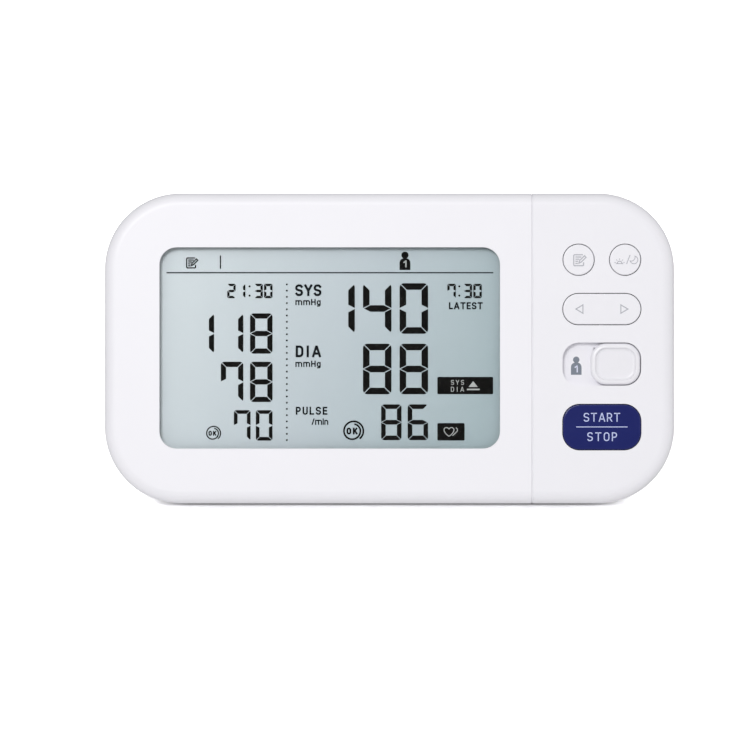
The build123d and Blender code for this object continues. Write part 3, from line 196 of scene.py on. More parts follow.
def raised(tree, height, depth_mm):
    """A surface normal that follows the height of a pattern."""
    return add(tree, "ShaderNodeBump", {"Height": height, "Distance": depth_mm * MM}).outputs[0]


GLOSS_SPREAD = 0.05  # how much a grain varies the roughness, either way


def dress(tree, shader, base, gloss, grain_mm, depth_mm, spread=GLOSS_SPREAD, stretch=(1, 1, 1)):
    """Gives a shader its colour, and a grain that shapes the surface and breaks its gloss."""
    grain = noise(tree, grain_mm, stretch, 3.0)
    rough = varied(tree, grain, gloss - spread, gloss + spread)
    link_to(tree, shader, Base_Color=base, Roughness=rough, Normal=raised(tree, grain, depth_mm))


# %% [markdown]
# ## Moulded plastics
#
# The covers, the rear casing and the keys are ABS, shot into a steel mould. Its surface copies the
# mould: polished steel gives gloss, and a spark-eroded mould gives the fine even grain that hides
# finger marks. ABS bends light like most plastics (IOR about 1.54) and its colour goes all the way
# through, with only a faint cloudiness where the melt flowed. So one recipe serves them all, with its
# colour, grain and gloss as settings. Real spark grain is about a tenth of a millimetre, too fine to
# show, so it is drawn a little coarser and very shallow.

# %% The recipe for moulded plastic
ABS_IOR = 1.54


def moulded(name, low, high, gloss, grain_mm, depth_mm, ior=ABS_IOR, cloud_mm=24, **values):
    """Moulded plastic: two near colours clouded together under an even grain."""
    material, tree, shader = new_material(name, IOR=ior, **values)
    dress(tree, shader, mottled(tree, low, high, cloud_mm), gloss, grain_mm, depth_mm)
    return material


# %% The casing, its door and the keys
finishes = {
    # Satin cool white: the mould was finely spark-eroded, so highlights are broad and soft.
    "casing_front": moulded("satin_white_abs", "f3f2f7", "f5f4f9", 0.42, 0.5, 0.004),
    "casing_controls": moulded("satin_white_abs_controls", "f1f0f5", "f3f2f7", 0.42, 0.5, 0.004),
    # The same plastic from a coarser mould: a dry, even, faintly sparkling grain.
    "casing_rear": moulded("textured_white_abs", "eeedf1", "f2f1f5", 0.55, 0.8, 0.02),
    "door_plastic": moulded("textured_white_abs_door", "edecf0", "f1f0f4", 0.55, 0.8, 0.02),
    # Keys are touched all day, so their mould is smoother and they shine a little more.
    "key_plastic": moulded("smooth_white_abs", "f1f0f5", "f4f3f8", 0.32, 0.4, 0.002, cloud_mm=8),
    "slider_plastic": moulded("smooth_white_abs_knob", "efeef3", "f2f1f6", 0.3, 0.4, 0.002, cloud_mm=8),
    # Deep blue, coloured in the mass, with a smooth satin face.
    "start_plastic": moulded("deep_blue_abs", "1a2163", "1f2769", 0.2, 0.4, 0.002, cloud_mm=8),
}
print("plastic finishes so far:", len(finishes))

# %% The plain inner mouldings
finishes |= {
    # Unpainted moulded parts that nobody sees: duller, with a visible flow of the melt.
    "inner_plastic": moulded("grey_abs_inner", "b9babd", "c6c7ca", 0.5, 0.6, 0.01),
    "pump_plastic": moulded("black_filled_nylon", "222324", "2d2e30", 0.55, 0.35, 0.012, 1.53),
    "plunger_plastic": moulded("cream_acetal", "d3cfbe", "dcd8c8", 0.35, 0.4, 0.003, 1.48),
    "crank_plastic": moulded("natural_acetal", "e0ded2", "e9e7dd", 0.35, 0.4, 0.003, 1.48),
    "lever_plastic": moulded("black_acetal", "1b1b1c", "232324", 0.35, 0.4, 0.003, 1.48),
    "plug_nylon": moulded("natural_nylon", "ded8c4", "e8e3d2", 0.45, 0.5, 0.006, 1.53),
    "sensor_plastic": moulded("black_sensor_resin", "1c1c1e", "27272a", 0.5, 0.3, 0.008, 1.58),
    "jack_plastic": moulded("dark_grey_abs", "4f5154", "585a5e", 0.42, 0.5, 0.006),
    "socket_plastic": moulded("black_polyester", "18181a", "202022", 0.4, 0.4, 0.005, 1.57),
    # Chips and buzzers are pressed from filled epoxy: matt black, faintly speckled.
    "chip_epoxy": moulded("black_filled_epoxy", "161617", "2a2a2b", 0.6, 0.25, 0.01, 1.58, 0.6),
}
print("with the inner ones:", len(finishes))

# %% [markdown]
# ## The clear lens
#
# The window is cast acrylic, polished on both faces. Glass in a renderer bends the lamps' light, and
# what lies behind it then turns dark and noisy, because lamps are hard to hit through a bend. The usual
# way round is to let shadow rays, and light that the display scatters back, pass straight through. The
# eye still sees the bend and the gloss, and the display is lit as if the lens were a thin sheet.

# %% Polished acrylic that lets the lamps through
def acrylic(name, tint):
    """Clear acrylic for the eye, open for lamps."""
    material, tree, shader = new_material(name, IOR=1.49, Roughness=0.02, Transmission_Weight=1.0)
    link_to(tree, shader, Base_Color=mottled(tree, tint, "ffffff", 60))
    ray = add(tree, "ShaderNodeLightPath").outputs
    clear = add(tree, "ShaderNodeBsdfTransparent").outputs[0]
    scattered = mixed(tree, ray["Is Diffuse Ray"], shader.outputs[0], clear)
    end_with(tree, mixed(tree, ray["Is Shadow Ray"], scattered, clear))
    return material


finishes["lens_acrylic"] = acrylic("polished_acrylic", "fbfdfd")

# %% [markdown]
# ## The display's layers
#
# A liquid crystal display of this kind has no lamp of its own. A grey-green polarising film lies on two
# panes of glass, with a matt reflector behind them, and its tone changes with the angle of the light:
# bluish and pale towards the light, greener and darker away from it. The film is the surface that
# shows, so that light and shade is painted into its colour: a drift of tone, pale towards the lamp and
# darker away from it, worked out from how far a point lies along one slanting line across the face.

# %% The polarising film, with light and shade painted into its tone
DRIFT_LENGTH = 118.0  # mm, across the whole film
DRIFT_SLANT = 0.4  # how much of the drift runs down the face
FILM_MIDDLE_X = -20.0
# painted light and shade: pale on the side towards the lamp, darker away from it
FILM_LIT_TO_SHADED_TONES = {0.0: "d3dce0", 0.5: "bfcad0", 1.0: "a5b7bc"}


def polarising_film():
    material, tree, shader = new_material("grey_polarising_film", IOR=1.5)
    slanting = (across - DRIFT_SLANT * up_face) / (DRIFT_LENGTH * MM)
    start = slanting.dot(face_middle + FILM_MIDDLE_X * MM * across) - 0.5
    # The painted shading runs from the side towards the lamp to the side away from it.
    drift = calculate(tree, "SUBTRACT", distance_along(tree, spot(tree), slanting), start)
    tones = add(tree, "ShaderNodeValToRGB", {"Fac": drift})
    ramp = tones.color_ramp.elements
    ramp.new(0.5)
    for stop in ramp:
        stop.color = colour(FILM_LIT_TO_SHADED_TONES[stop.position])
    dress(tree, shader, tones.outputs[0], 0.5, 0.4, 0.001)
    return material


finishes["lcd_film"] = polarising_film()
# Soda-lime glass, faintly green at its cut edges.
finishes["lcd_glass"] = acrylic("display_glass", "eef6f3")
finishes["lcd_reflector_film"] = moulded("matt_silver_film", "a8adae", "b6bbbc", 0.45, 0.3, 0.004, 1.5)

# %% The striped contact rubber and the window's tape
STRIPE = 0.6  # mm; the real stripes are finer than can be seen
BAND_DEPTH = 0.05  # mm
BANDS_PER_METRE = 20 / math.tau  # of a wave texture whose scale is 1


def banded(name, low, high, pitch_mm, direction, **values):
    """Even bands across a direction, as in wound wire or stacked sheets."""
    material, tree, shader = new_material(name, IOR=1.45, **values)
    settings = {"Vector": spot(tree), "Scale": 1 / (pitch_mm * MM * BANDS_PER_METRE), "Distortion": 0.3}
    wave = add(tree, "ShaderNodeTexWave", settings, bands_direction=direction).outputs["Fac"]
    normal = raised(tree, wave, BAND_DEPTH)
    link_to(tree, shader, Base_Color=blend(tree, wave, low, high), Normal=normal)
    return material


finishes["zebra_rubber"] = banded("striped_silicone", "2c2220", "d8a79a", STRIPE, "X", Roughness=0.6)
# A thin black foam with glue on both sides: open-celled and dead matt.
finishes["adhesive_foam"] = moulded("black_foam_tape", "2b2b2c", "39393a", 0.9, 0.3, 0.05, 1.45, 1)

# %% [markdown]
# ## Metals
#
# Every metal here is thin sheet or bar with a plating: zinc on the screws and the valve's yoke, nickel
# on the springs and the motor's can. What tells them apart is their tint and how the surface was worked.
# Rolled and drawn metal keeps fine lines along the way it was pulled, so the grain is stretched many
# times along one axis. A metal keeps the renderer's own IOR, and its colour is what it mirrors.

# %% The recipe for plated and worked metal
DRAWN_OUT = 0.04  # the pattern's scale along the lines, so that they are 25 times as long as wide
METAL_SPREAD = 0.07  # how much the lines vary the roughness, either way


def worked_metal(name, low, high, gloss, line_mm, pulled="X", depth_mm=0.002):
    """Metal whose fine lines run along the axis that it was pulled, rolled or turned along."""
    material, tree, shader = new_material(name, Metallic=1.0)
    stretch = [DRAWN_OUT if axis == pulled else 1 for axis in "XYZ"]
    base = mottled(tree, low, high, 3, stretch)
    dress(tree, shader, base, gloss, line_mm, depth_mm, METAL_SPREAD, stretch)
    return material


# %% Screws, springs, motor, valve and socket
finishes |= {
    "screw_steel": worked_metal("zinc_plated_steel", "aeb2b6", "c2c6ca", 0.32, 0.3, "Z"),
    "switch_steel": worked_metal("tinned_steel", "b7b8b8", "c9caca", 0.34, 0.3),
    "spring_steel": worked_metal("nickel_plated_spring_steel", "b9b5ab", "cfcbc2", 0.24, 0.2),
    "motor_steel": worked_metal("nickel_plated_drawn_can", "b5b3ad", "c8c6c0", 0.3, 0.35),
    "yoke_steel": worked_metal("bright_zinc_plate", "b4b8bc", "c9cdd1", 0.3, 0.3, "Y"),
    "capacitor_can": worked_metal("drawn_aluminium", "c3c5c8", "d4d6d9", 0.3, 1.2, "Z", 0.001),
    "pin_brass": worked_metal("nickel_plated_brass", "c9c2ae", "d9d3c0", 0.22, 0.2),
    # Sintered from powder and soaked in oil: brown, grainy and only half bright.
    "bush_bronze": worked_metal("oiled_sintered_bronze", "8a6438", "a97d49", 0.48, 0.25, "X", 0.02),
}
print("finishes so far, with the metals:", len(finishes))

# %% Ferrite, laminated iron and the copper winding
finishes |= {
    # Ferrite is a fired ceramic: charcoal, dull, with small pits.
    "magnet_ferrite": moulded("fired_ferrite", "2f2f31", "434346", 0.7, 0.4, 0.03, 2.3, 2),
    # The armature is a stack of half-millimetre iron sheets.
    "rotor_steel": banded("laminated_iron", "5f5b57", "8d8983", 0.5, "X", Roughness=0.42, Metallic=1.0),
    # Enamelled wire, wound turn by turn: a copper-red gloss under clear varnish.
    "coil_winding": banded(
        "enamelled_copper_winding", "7c3413", "c4683a", 0.45, "Y",
        Roughness=0.3, Metallic=1.0, Coat_Weight=0.6,
    ),
}

# %% [markdown]
# ## Rubbers and soft plastics
#
# The feet, the pump's sleeve and the tubes give when pressed, and their surfaces show it: they scatter
# light inside or swallow it, and their gloss is dull and wide. Silicone tube is milky because light
# goes some way into it, so it gets a little subsurface scattering, which costs little on pieces this
# small.

# %% Feet, sleeve, diaphragm, tubes and wires
def rubber(name, low, high, rough, grain_mm=0.4, depth_mm=0.01, **values):
    """Rubber: dull, with a fine powdery grain."""
    return moulded(name, low, high, rough, grain_mm, depth_mm, 1.52, 6, **values)


finishes |= {
    "foot_rubber": rubber("grey_foot_rubber", "8d8e90", "9a9b9d", 0.75),
    "sleeve_foam": rubber("black_foam_rubber", "2a2a2b", "3b3b3c", 0.9, 0.8, 0.08),
    "diaphragm_rubber": rubber("black_nitrile_rubber", "212122", "2b2b2c", 0.65),
    "tube_silicone": rubber(
        "milky_silicone", "dcdedd", "e6e8e7", 0.45, Subsurface_Weight=0.4, Subsurface_Scale=1.5 * MM
    ),
    "wire_insulation": moulded("red_pvc_insulation", "8f1a1a", "a82323", 0.4, 0.3, 0.004, cloud_mm=5),
}

# %% [markdown]
# ## The board and the batteries
#
# A circuit board is fibreglass under a green lacquer. The copper tracks under the lacquer show as
# slightly lighter, raised lines that run mostly straight. A brick pattern gives such a maze of runs at
# any size, which is enough for a board that shows only when the casing is opened. A battery's sleeve is
# shrunk plastic print: a dark body with a broad band in another colour at the plus end, and no words.
# The cells of one row point one way and those of the other row the other way, so the band is placed by
# its distance from the end of each row.

# %% Green lacquer over copper tracks
TRACK_FIELD = 12  # mm, the brick pattern's unit
TRACK_LINE = 0.03  # a track's width as a share of that unit
TRACK_DEPTH = 0.03  # mm


def board_lacquer():
    material, tree, shader = new_material("green_lacquered_fibreglass", IOR=1.55, Roughness=0.28)
    leaning = {"Vector": spot(tree), "Rotation": turn.inverted().to_euler()}
    settings = {
        "Vector": add(tree, "ShaderNodeMapping", leaning).outputs[0],
        "Scale": 1 / (TRACK_FIELD * MM),
        "Mortar Size": TRACK_LINE,
        "Color1": colour("0f4a26"),
        "Color2": colour("11522b"),
        "Mortar": colour("2c7a45"),
    }
    tracks = add(tree, "ShaderNodeTexBrick", settings).outputs
    normal = raised(tree, tracks["Fac"], TRACK_DEPTH)
    link_to(tree, shader, Base_Color=tracks["Color"], Normal=normal)
    return material


finishes["board_laminate"] = board_lacquer()

# %% Printed battery sleeves, banded along each cell
CELL_LENGTH = 50.5
CELL_DIAMETER = 14.5
CELL_BAND = 0.3  # share of a cell in the band's colour
CELL_NUB = 0.028  # share of a cell that is the bare plus contact

cell_axes = list(zip(*(vert.co for vert in nodes["battery_cells"].data.vertices)))
cells_low, cells_high = (Vector([end(axis) for axis in cell_axes]) for end in (min, max))
cells_middle = (cells_low + cells_high) / 2
row_step = cells_high - cells_low - Vector((1, 1, 1)) * CELL_DIAMETER * MM
to_upper_row = Vector((0, -row_step.y, row_step.z)).normalized()
print("rows of cells end at mm:", round(cells_low.x / MM, 1), round(cells_high.x / MM, 1))


def cell_sleeve():
    material, tree, shader = new_material("printed_battery_sleeve", IOR=1.5, Coat_Weight=0.5)
    place = spot(tree)
    rise = distance_along(tree, place, to_upper_row)
    above = calculate(tree, "SUBTRACT", rise, cells_middle.dot(to_upper_row))
    row = calculate(tree, "SIGN", above)
    towards_plus = calculate(tree, "MULTIPLY", parts_of(tree, place)["X"], row)
    from_end = calculate(tree, "SUBTRACT", cells_high.x, towards_plus)
    share = calculate(tree, "FRACT", calculate(tree, "DIVIDE", from_end, CELL_LENGTH * MM))
    band = calculate(tree, "LESS_THAN", share, CELL_BAND)
    bare = calculate(tree, "LESS_THAN", share, CELL_NUB)
    printed = blend(tree, band, mottled(tree, "24282c", "2b3035", 12), "b9a15a")
    dress(tree, shader, blend(tree, bare, printed, "c4c5c6"), 0.27, 0.5, 0.003)
    link_to(tree, shader, Metallic=bare)
    return material


finishes["cell_sleeve"] = cell_sleeve()

# %% [markdown]
# ## Dressing the solid pieces
#
# The record lists a material slot for each piece. Each piece of the model gets the finish of its slot,
# and a slot without a finish stops the lesson here, so none is left plain.

# %% Give each piece the finish of its slot
for part in frame["record"]["subparts"]:
    mesh = nodes[part["node"]].data
    finish = finishes[part["material_slot"]]
    if not mesh.materials:
        mesh.materials.append(finish)
    for index in range(len(mesh.materials)):
        mesh.materials[index] = finish

# %% [markdown]
# ## Thin marks: ink and liquid crystal
#
# The figures on the display and the marks on the keys are flat shapes, a few hundredths of a millimetre
# thick. They could be painted by a texture, but small clean shapes are sharper and travel with the
# model. Each starts as a square, a disc or a drawn band, is cut or bevelled while it is flat and in
# millimetres, and gets its thickness last.

# %% Flat shapes in millimetres
INK = 0.03  # mm, thickness of a mark


def round_off(bm, verts, radius, steps):
    """Rounds the given corners of a flat shape."""
    bmesh.ops.bevel(
        bm, geom=verts, offset=radius, offset_type="OFFSET", segments=steps,
        profile=0.5, affect="VERTICES", material=-1,
    )


def rectangle(width, height, corner=0.0):
    """A flat rectangle about the origin, with rounded corners if asked."""
    bm = bmesh.new()
    bmesh.ops.create_grid(bm, x_segments=1, y_segments=1, size=0.5)
    bmesh.ops.scale(bm, vec=(width, height, 1), verts=bm.verts)
    if corner:
        round_off(bm, bm.verts[:], corner, 6)
    return bm


def disc(radius, sides=40):
    bm = bmesh.new()
    bmesh.ops.create_circle(bm, cap_ends=True, radius=radius, segments=sides)
    return bm


def cut(bm, point, normal):
    """Cuts away what lies on the side of a line that `normal` points to."""
    everything = bm.verts[:] + bm.edges[:] + bm.faces[:]
    bmesh.ops.bisect_plane(
        bm, geom=everything, plane_co=(*point, 0), plane_no=(*normal, 0), clear_outer=True
    )


def triangle(width, height):
    """A flat triangle about the origin, pointing up."""
    bm = rectangle(width, height)
    for side in (-1, 1):
        cut(bm, (0, height / 2), (side * height, width / 2))
    return bm


# %% Put flat shapes on a sheet, and make the sheet a piece
WELD = 0.002  # mm; points nearer than this become one


def lay(sheet, bm, x, y):
    """Adds a flat shape to a sheet at its place on the face."""
    bmesh.ops.remove_doubles(bm, verts=bm.verts, dist=WELD)
    bm.transform(Matrix.Translation((x, y, 0)))
    loose = bpy.data.meshes.new("shape")
    bm.to_mesh(loose)
    bm.free()
    sheet.from_mesh(loose)
    bpy.data.meshes.remove(loose)


def in_scene(name, data):
    """An object for a mesh, a lamp or a camera."""
    item = bpy.data.objects.new(name, data)
    bpy.context.scene.collection.objects.link(item)
    return item


def mesh_object(name, bm, finish):
    """An object made of a shape, which is used up."""
    mesh = bpy.data.meshes.new(name)
    bm.to_mesh(mesh)
    bm.free()
    mesh.materials.append(finish)
    print(f"{name}: {len(mesh.polygons)} faces")
    return in_scene(name, mesh)


def thicken(bm, thickness):
    """Gives flat shapes their thickness, downward from where they lie."""
    bmesh.ops.recalc_face_normals(bm, faces=bm.faces)
    bmesh.ops.reverse_faces(bm, faces=[face for face in bm.faces if face.normal.z < 0])
    bmesh.ops.solidify(bm, geom=bm.faces[:], thickness=thickness)
    bmesh.ops.recalc_face_normals(bm, faces=bm.faces)


def print_sheet(name, sheet, level, finish, body, thickness=INK):
    """Thickens flat shapes, puts their top at a level on the face and makes them ride."""
    thicken(sheet, thickness)
    sheet.transform(on_face @ Matrix.Translation((0, 0, level)))
    piece = mesh_object(name, sheet, finish)
    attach(piece, body)


# %% The dark of an active segment, and inks
def ink(name, low, high, rough=0.45, **values):
    """Printed ink: a thin even layer, a little uneven in tone."""
    return moulded(name, low, high, rough, 0.2, 0.001, 1.5, 3, **values)


def crystal(name, low, high):
    """Liquid crystal lies between panes of glass, so it has almost no surface of its own to shine."""
    return ink(name, low, high, 0.6, Specular_IOR_Level=0.04)


segment_dark = crystal("active_liquid_crystal", "090908", "100f0e")
label_dark = crystal("fine_liquid_crystal_lines", "0e1317", "161b1f")

# %% [markdown]
# ## Seven-segment figures
#
# Each figure is built from up to seven bars. The bars of a good display are not plain: neighbours meet
# on slanting joints with a hair's gap between them, and the figure's outer corners are rounded. Here
# every bar starts as a rectangle. It is cut along the joints it shares with its neighbours, half a gap
# back from each, and then along lines that touch the rounding of each outer corner, which only
# bars at that corner reach.

# %% One bar of a figure
JOINT_GAP = 0.13  # between two bars, as a share of a bar's width
CORNER_CUTS = (15, 45, 75)  # degrees at which lines touch a corner's rounding
CORNER_ROUND = 0.7  # that rounding's radius, as a share of the same
LIT = {
    "0": "abcdef", "1": "bc", "2": "abged", "3": "abgcd", "4": "fgbc",
    "6": "afgedc", "7": "fabc", "8": "abcdefg",
}


def keep(bm, point, inward, gap):
    """Keeps what lies half a gap or more to the inward side of a joint."""
    inward = Vector(inward).normalized()
    cut(bm, Vector(point) + inward * gap / 2, -inward)


def segment(letter, width, height, line):
    """One bar of a figure that is centred on the origin."""
    half_w = width / 2
    half_h = height / 2
    gap = JOINT_GAP * line
    if letter == "g":
        bm = rectangle(width, line)
        for side in (-1, 1):
            for level in (1, -1):
                keep(bm, (side * half_w, 0), (-side / 2, level), gap)
    elif letter in "ad":
        level = 1 if letter == "a" else -1
        bm = rectangle(width, line)
        bmesh.ops.translate(bm, vec=(0, level * (half_h - line / 2), 0), verts=bm.verts)
        for side in (-1, 1):
            keep(bm, (side * half_w, level * half_h), (-side, level), gap)
    else:
        side = 1 if letter in "bc" else -1
        level = 1 if letter in "bf" else -1
        bm = rectangle(line, half_h)
        shift = (side * (half_w - line / 2), level * half_h / 2, 0)
        bmesh.ops.translate(bm, vec=shift, verts=bm.verts)
        keep(bm, (side * half_w, level * half_h), (side, -level), gap)
        keep(bm, (side * half_w, 0), (side / 2, level), gap)
    return bm


def round_corners(bm, width, height, radius):
    for side in (-1, 1):
        for level in (-1, 1):
            for angle in CORNER_CUTS:
                turned = math.radians(angle)
                away = Vector((side * math.cos(turned), level * math.sin(turned)))
                centre = Vector((side * (width / 2 - radius), level * (height / 2 - radius)))
                cut(bm, centre + away * radius, away)


# %% A row of figures
def figures(sheet, text, right, middle, width, height, line, pitch):
    """Figures in a row that ends at `right`."""
    x = right - width / 2
    for character in reversed(text):
        for letter in LIT[character]:
            bm = segment(letter, width, height, line)
            round_corners(bm, width, height, line * CORNER_ROUND)
            lay(sheet, bm, x, middle)
        x -= pitch


# %% The readings and the clocks
# Width, height, width of a bar and pitch, in mm, for each size of figure.
LARGE = (9.55, 16.95, 2.2, 12.28)
MIDDLE = (7.54, 13.5, 1.75, 9.79)
PULSE_LARGE = (6.84, 12.0, 1.54, 8.91)
PULSE_SMALL = (5.6, 10.2, 1.23, 7.36)
CLOCK = (2.85, 4.85, 0.8, 3.25)
LEFT_GROUP = -39.2  # right edges of the two groups of readings
RIGHT_GROUP = 12.95
CLOCK_Y = 19.2
FILM_TOP = -4.2  # the polarising film's surface

readings = bmesh.new()
for text, right, middle, sizes in (
    ("118", LEFT_GROUP, 4.95, MIDDLE),
    ("78", LEFT_GROUP, -11.27, MIDDLE),
    ("70", LEFT_GROUP, -25.85, PULSE_SMALL),
    ("140", RIGHT_GROUP, 13.33, LARGE),
    ("88", RIGHT_GROUP, -6.95, LARGE),
    ("86", RIGHT_GROUP, -24.8, PULSE_LARGE),
    ("30", LEFT_GROUP, CLOCK_Y, CLOCK),
    ("21", LEFT_GROUP - 9.1, CLOCK_Y, CLOCK),
    ("30", 30.95, CLOCK_Y, CLOCK),
    ("7", 22.25, CLOCK_Y, CLOCK),
):
    figures(readings, text, right, middle, *sizes)
for colon_x in (-46.9, 23.4):
    for rise in (-1.55, 1.55):
        lay(readings, disc(0.36, 16), colon_x, CLOCK_Y + rise)
SEGMENT_LEVEL = FILM_TOP + INK
print_sheet("display_readings", readings, SEGMENT_LEVEL, segment_dark, "console")

# %% [markdown]
# ## A pen for letters and symbols
#
# The labels are set in plain technical lettering: strokes of one width, straight runs and rounded
# corners. That is easy to draw with a pen whose nib is an edge. The path is a list of corners, each
# with a radius if it is rounded. The nib is extruded from point to point and laid square to the path
# at each one. A typeface would do for the words, but the same pen also draws the arrows, the heart and
# the rings, so that all of them share one look.

# %% Paths and the pen
def rounded(corners, closed=False, steps=8):
    """Points along a path whose corners are (x, y) or, where rounded, (x, y, radius)."""
    path = []
    for index, (x, y, *radius) in enumerate(corners):
        here = Vector((x, y))
        inner = closed or 0 < index < len(corners) - 1
        if not (radius and inner):
            path.append(here)
            continue
        before = (Vector(corners[index - 1][:2]) - here).normalized()
        after = (Vector(corners[(index + 1) % len(corners)][:2]) - here).normalized()
        half = before.angle(after) / 2
        middle = here + (before + after).normalized() * radius[0] / math.sin(half)
        first = here + before * radius[0] / math.tan(half) - middle
        swing = math.copysign(math.pi - 2 * half, -before.cross(after))
        path += [middle + Matrix.Rotation(swing * step / steps, 2) @ first for step in range(steps + 1)]
    return path


def round_run(x, y, radius, start, end, steps=16):
    """Points along an arc between two angles in degrees."""
    angles = [math.radians(start + (end - start) * step / steps) for step in range(steps + 1)]
    return [(x + radius * math.cos(angle), y + radius * math.sin(angle)) for angle in angles]


SHARPEST = 0.4  # limits how far a sharp corner's point may reach


def nib_ends(path, index, line, closed):
    """Both ends of the nib at one point of the path."""
    count = len(path)
    here = path[index]
    into = here - path[index - 1] if closed or index else path[1] - here
    out = path[(index + 1) % count] - here if closed or index < count - 1 else into
    along = (into.normalized() + out.normalized()).normalized()
    side = Vector((-along.y, along.x))
    square = Vector((-into.y, into.x)).normalized()
    reach = side * line / 2 / max(side.dot(square), SHARPEST)
    return (*(here + reach), 0), (*(here - reach), 0)


def stroke(path, line, closed=False, cap=0.0):
    """A flat band of even width along a path; `cap` makes both its ends longer."""
    path = [Vector(point) for point in path]
    if cap:
        path[0] = path[0] - (path[1] - path[0]).normalized() * cap
        path[-1] = path[-1] + (path[-1] - path[-2]).normalized() * cap
    bm = bmesh.new()
    nib = [bm.verts.new(end) for end in nib_ends(path, 0, line, closed)]
    edge = bm.edges.new(nib)
    for index in [*range(1, len(path)), *([0] if closed else [])]:
        made = bmesh.ops.extrude_edge_only(bm, edges=[edge])["geom"]
        fresh = [item for item in made if isinstance(item, bmesh.types.BMVert)]
        nib = sorted(fresh, key=lambda vert: (vert.co - nib[0].co).length)
        for vert, end in zip(nib, nib_ends(path, index, line, closed)):
            vert.co = end
        edge = bm.edges.get(nib)
    return bm


# %% Technical lettering: the width of each letter, then its strokes, in a box one unit high
GLYPHS = {
    "A": (0.7, [(0, 0), (0.32, 1), (0.38, 1), (0.7, 0)], [(0.15, 0.27), (0.55, 0.27)]),
    "D": (0.58, [(0, 0), (0.58, 0, 0.3), (0.58, 1, 0.3), (0, 1), (0, 0)]),
    "E": (0.48, [(0.48, 1), (0, 1), (0, 0), (0.48, 0)], [(0, 0.5), (0.42, 0.5)]),
    "H": (0.68, [(0, 0), (0, 1)], [(0.68, 0), (0.68, 1)], [(0, 0.5), (0.68, 0.5)]),
    "I": (0.0, [(0, 0), (0, 1)]),
    "K": (0.58, [(0, 0), (0, 1)], [(0.56, 1), (0.02, 0.36)], [(0.2, 0.6), (0.58, 0)]),
    "L": (0.46, [(0, 1), (0, 0), (0.46, 0)]),
    "O": (0.6, [(0, 0, 0.28), (0.6, 0, 0.28), (0.6, 1, 0.28), (0, 1, 0.28), (0, 0, 0.28)]),
    "P": (0.54, [(0, 0), (0, 1), (0.54, 1, 0.27), (0.54, 0.43, 0.27), (0, 0.43)]),
    "R": (
        0.56, [(0, 0), (0, 1), (0.54, 1, 0.27), (0.54, 0.43, 0.27), (0, 0.43)], [(0.28, 0.43), (0.56, 0)],
    ),
    "S": (
        0.58,
        [
            (0.56, 0.87), (0.45, 1, 0.16), (0, 1, 0.25), (0, 0.58, 0.2),
            (0.58, 0.42, 0.2), (0.58, 0, 0.25), (0.13, 0, 0.16), (0.02, 0.13),
        ],
    ),
    "T": (0.66, [(0, 1), (0.66, 1)], [(0.33, 1), (0.33, 0)]),
    "U": (0.58, [(0, 1), (0, 0, 0.27), (0.58, 0, 0.27), (0.58, 1)]),
    "Y": (0.62, [(0, 1), (0.31, 0.44), (0.31, 0)], [(0.62, 1), (0.31, 0.44)]),
    "g": (
        0.54,
        [(0, 0, 0.24), (0.54, 0, 0.24), (0.54, 0.72, 0.24), (0, 0.72, 0.24), (0, 0, 0.24)],
        [(0.54, 0.72), (0.54, -0.3, 0.24), (0.06, -0.3)],
    ),
    "i": (0.0, [(0, 0), (0, 0.72)], [(0, 0.98), (0, 1)]),
    "m": (
        1.12,
        [(0, 0), (0, 0.74), (0.56, 0.74, 0.24), (0.56, 0)],
        [(0.34, 0.74), (1.12, 0.74, 0.24), (1.12, 0)],
    ),
    "n": (0.54, [(0, 0), (0, 0.72), (0.54, 0.72, 0.25), (0.54, 0)]),
    "/": (0.34, [(0, 0), (0.34, 1)]),
    "1": (0.34, [(0, 0.76), (0.3, 1)], [(0.34, 1), (0.34, 0)]),
    "2": (0.56, [(0, 0.8), (0, 1, 0.2), (0.56, 1, 0.26), (0.56, 0.56, 0.24), (0, 0), (0.56, 0)]),
}


def pen(sheet, corners, line, x=0.0, y=0.0, cap=0.0):
    """One stroke; a path that ends where it began is closed."""
    closed = corners[0] == corners[-1]
    if closed:
        corners = corners[:-1]
    shape = stroke(rounded(corners, closed), line, closed, 0.0 if closed else cap)
    lay(sheet, shape, x, y)


def word(sheet, text, x, y, height, line, width):
    """A word about a middle point, with capitals of a given height, spread to a given width."""
    scale = height - line
    wide = [GLYPHS[letter][0] * scale + line for letter in text]
    gap = (width - sum(wide)) / max(len(text) - 1, 1)
    left = x - (sum(wide) + gap * (len(text) - 1)) / 2
    for letter, own in zip(text, wide):
        for path in GLYPHS[letter][1:]:
            corners = [tuple(scale * value for value in corner) for corner in path]
            pen(sheet, corners, line, left + line / 2, y - scale / 2, cap=line / 2)
        left += own + gap


# %% The display's labels
labels = bmesh.new()
LABEL_X = -27.1
for text, *where_and_how in (
    ("SYS", LABEL_X - 0.1, 19.45, 3.95, 0.78, 8.8),
    ("mmHg", LABEL_X - 0.2, 15.5, 2.1, 0.43, 8.5),
    ("DIA", LABEL_X - 0.1, -1.05, 3.95, 0.78, 8.5),
    ("mmHg", LABEL_X - 0.2, -5.2, 2.1, 0.43, 8.5),
    ("PULSE", -26.1, -20.95, 2.7, 0.54, 10.6),
    ("/min", -23.3, -24.6, 2.15, 0.41, 5.6),
    ("LATEST", 25.6, 14.25, 2.4, 0.5, 11.35),
):
    word(labels, text, *where_and_how)
pen(labels, [(-74.75, 25.32), (34.8, 25.32)], 0.42)
pen(labels, [(-56.66, 26.6), (-56.66, 31.1)], 0.42)
DOTS = 26
DOT_PITCH = 2.087
for index in range(DOTS):
    lay(labels, disc(0.33, 12), -34.4, 21.4 - index * DOT_PITCH)
print_sheet("display_labels", labels, SEGMENT_LEVEL, label_dark, "console")

# %% [markdown]
# ## The display's symbols
#
# Besides figures and words the display lights a few symbols: a notebook for stored readings, the
# number of the user, a ring that says that the cuff sits well, and two dark boxes. One box points at
# readings that are too high and the other shows a beating heart. In a box the light part is where the
# crystal stays clear, so it takes the film's own tone and lies just above the dark.

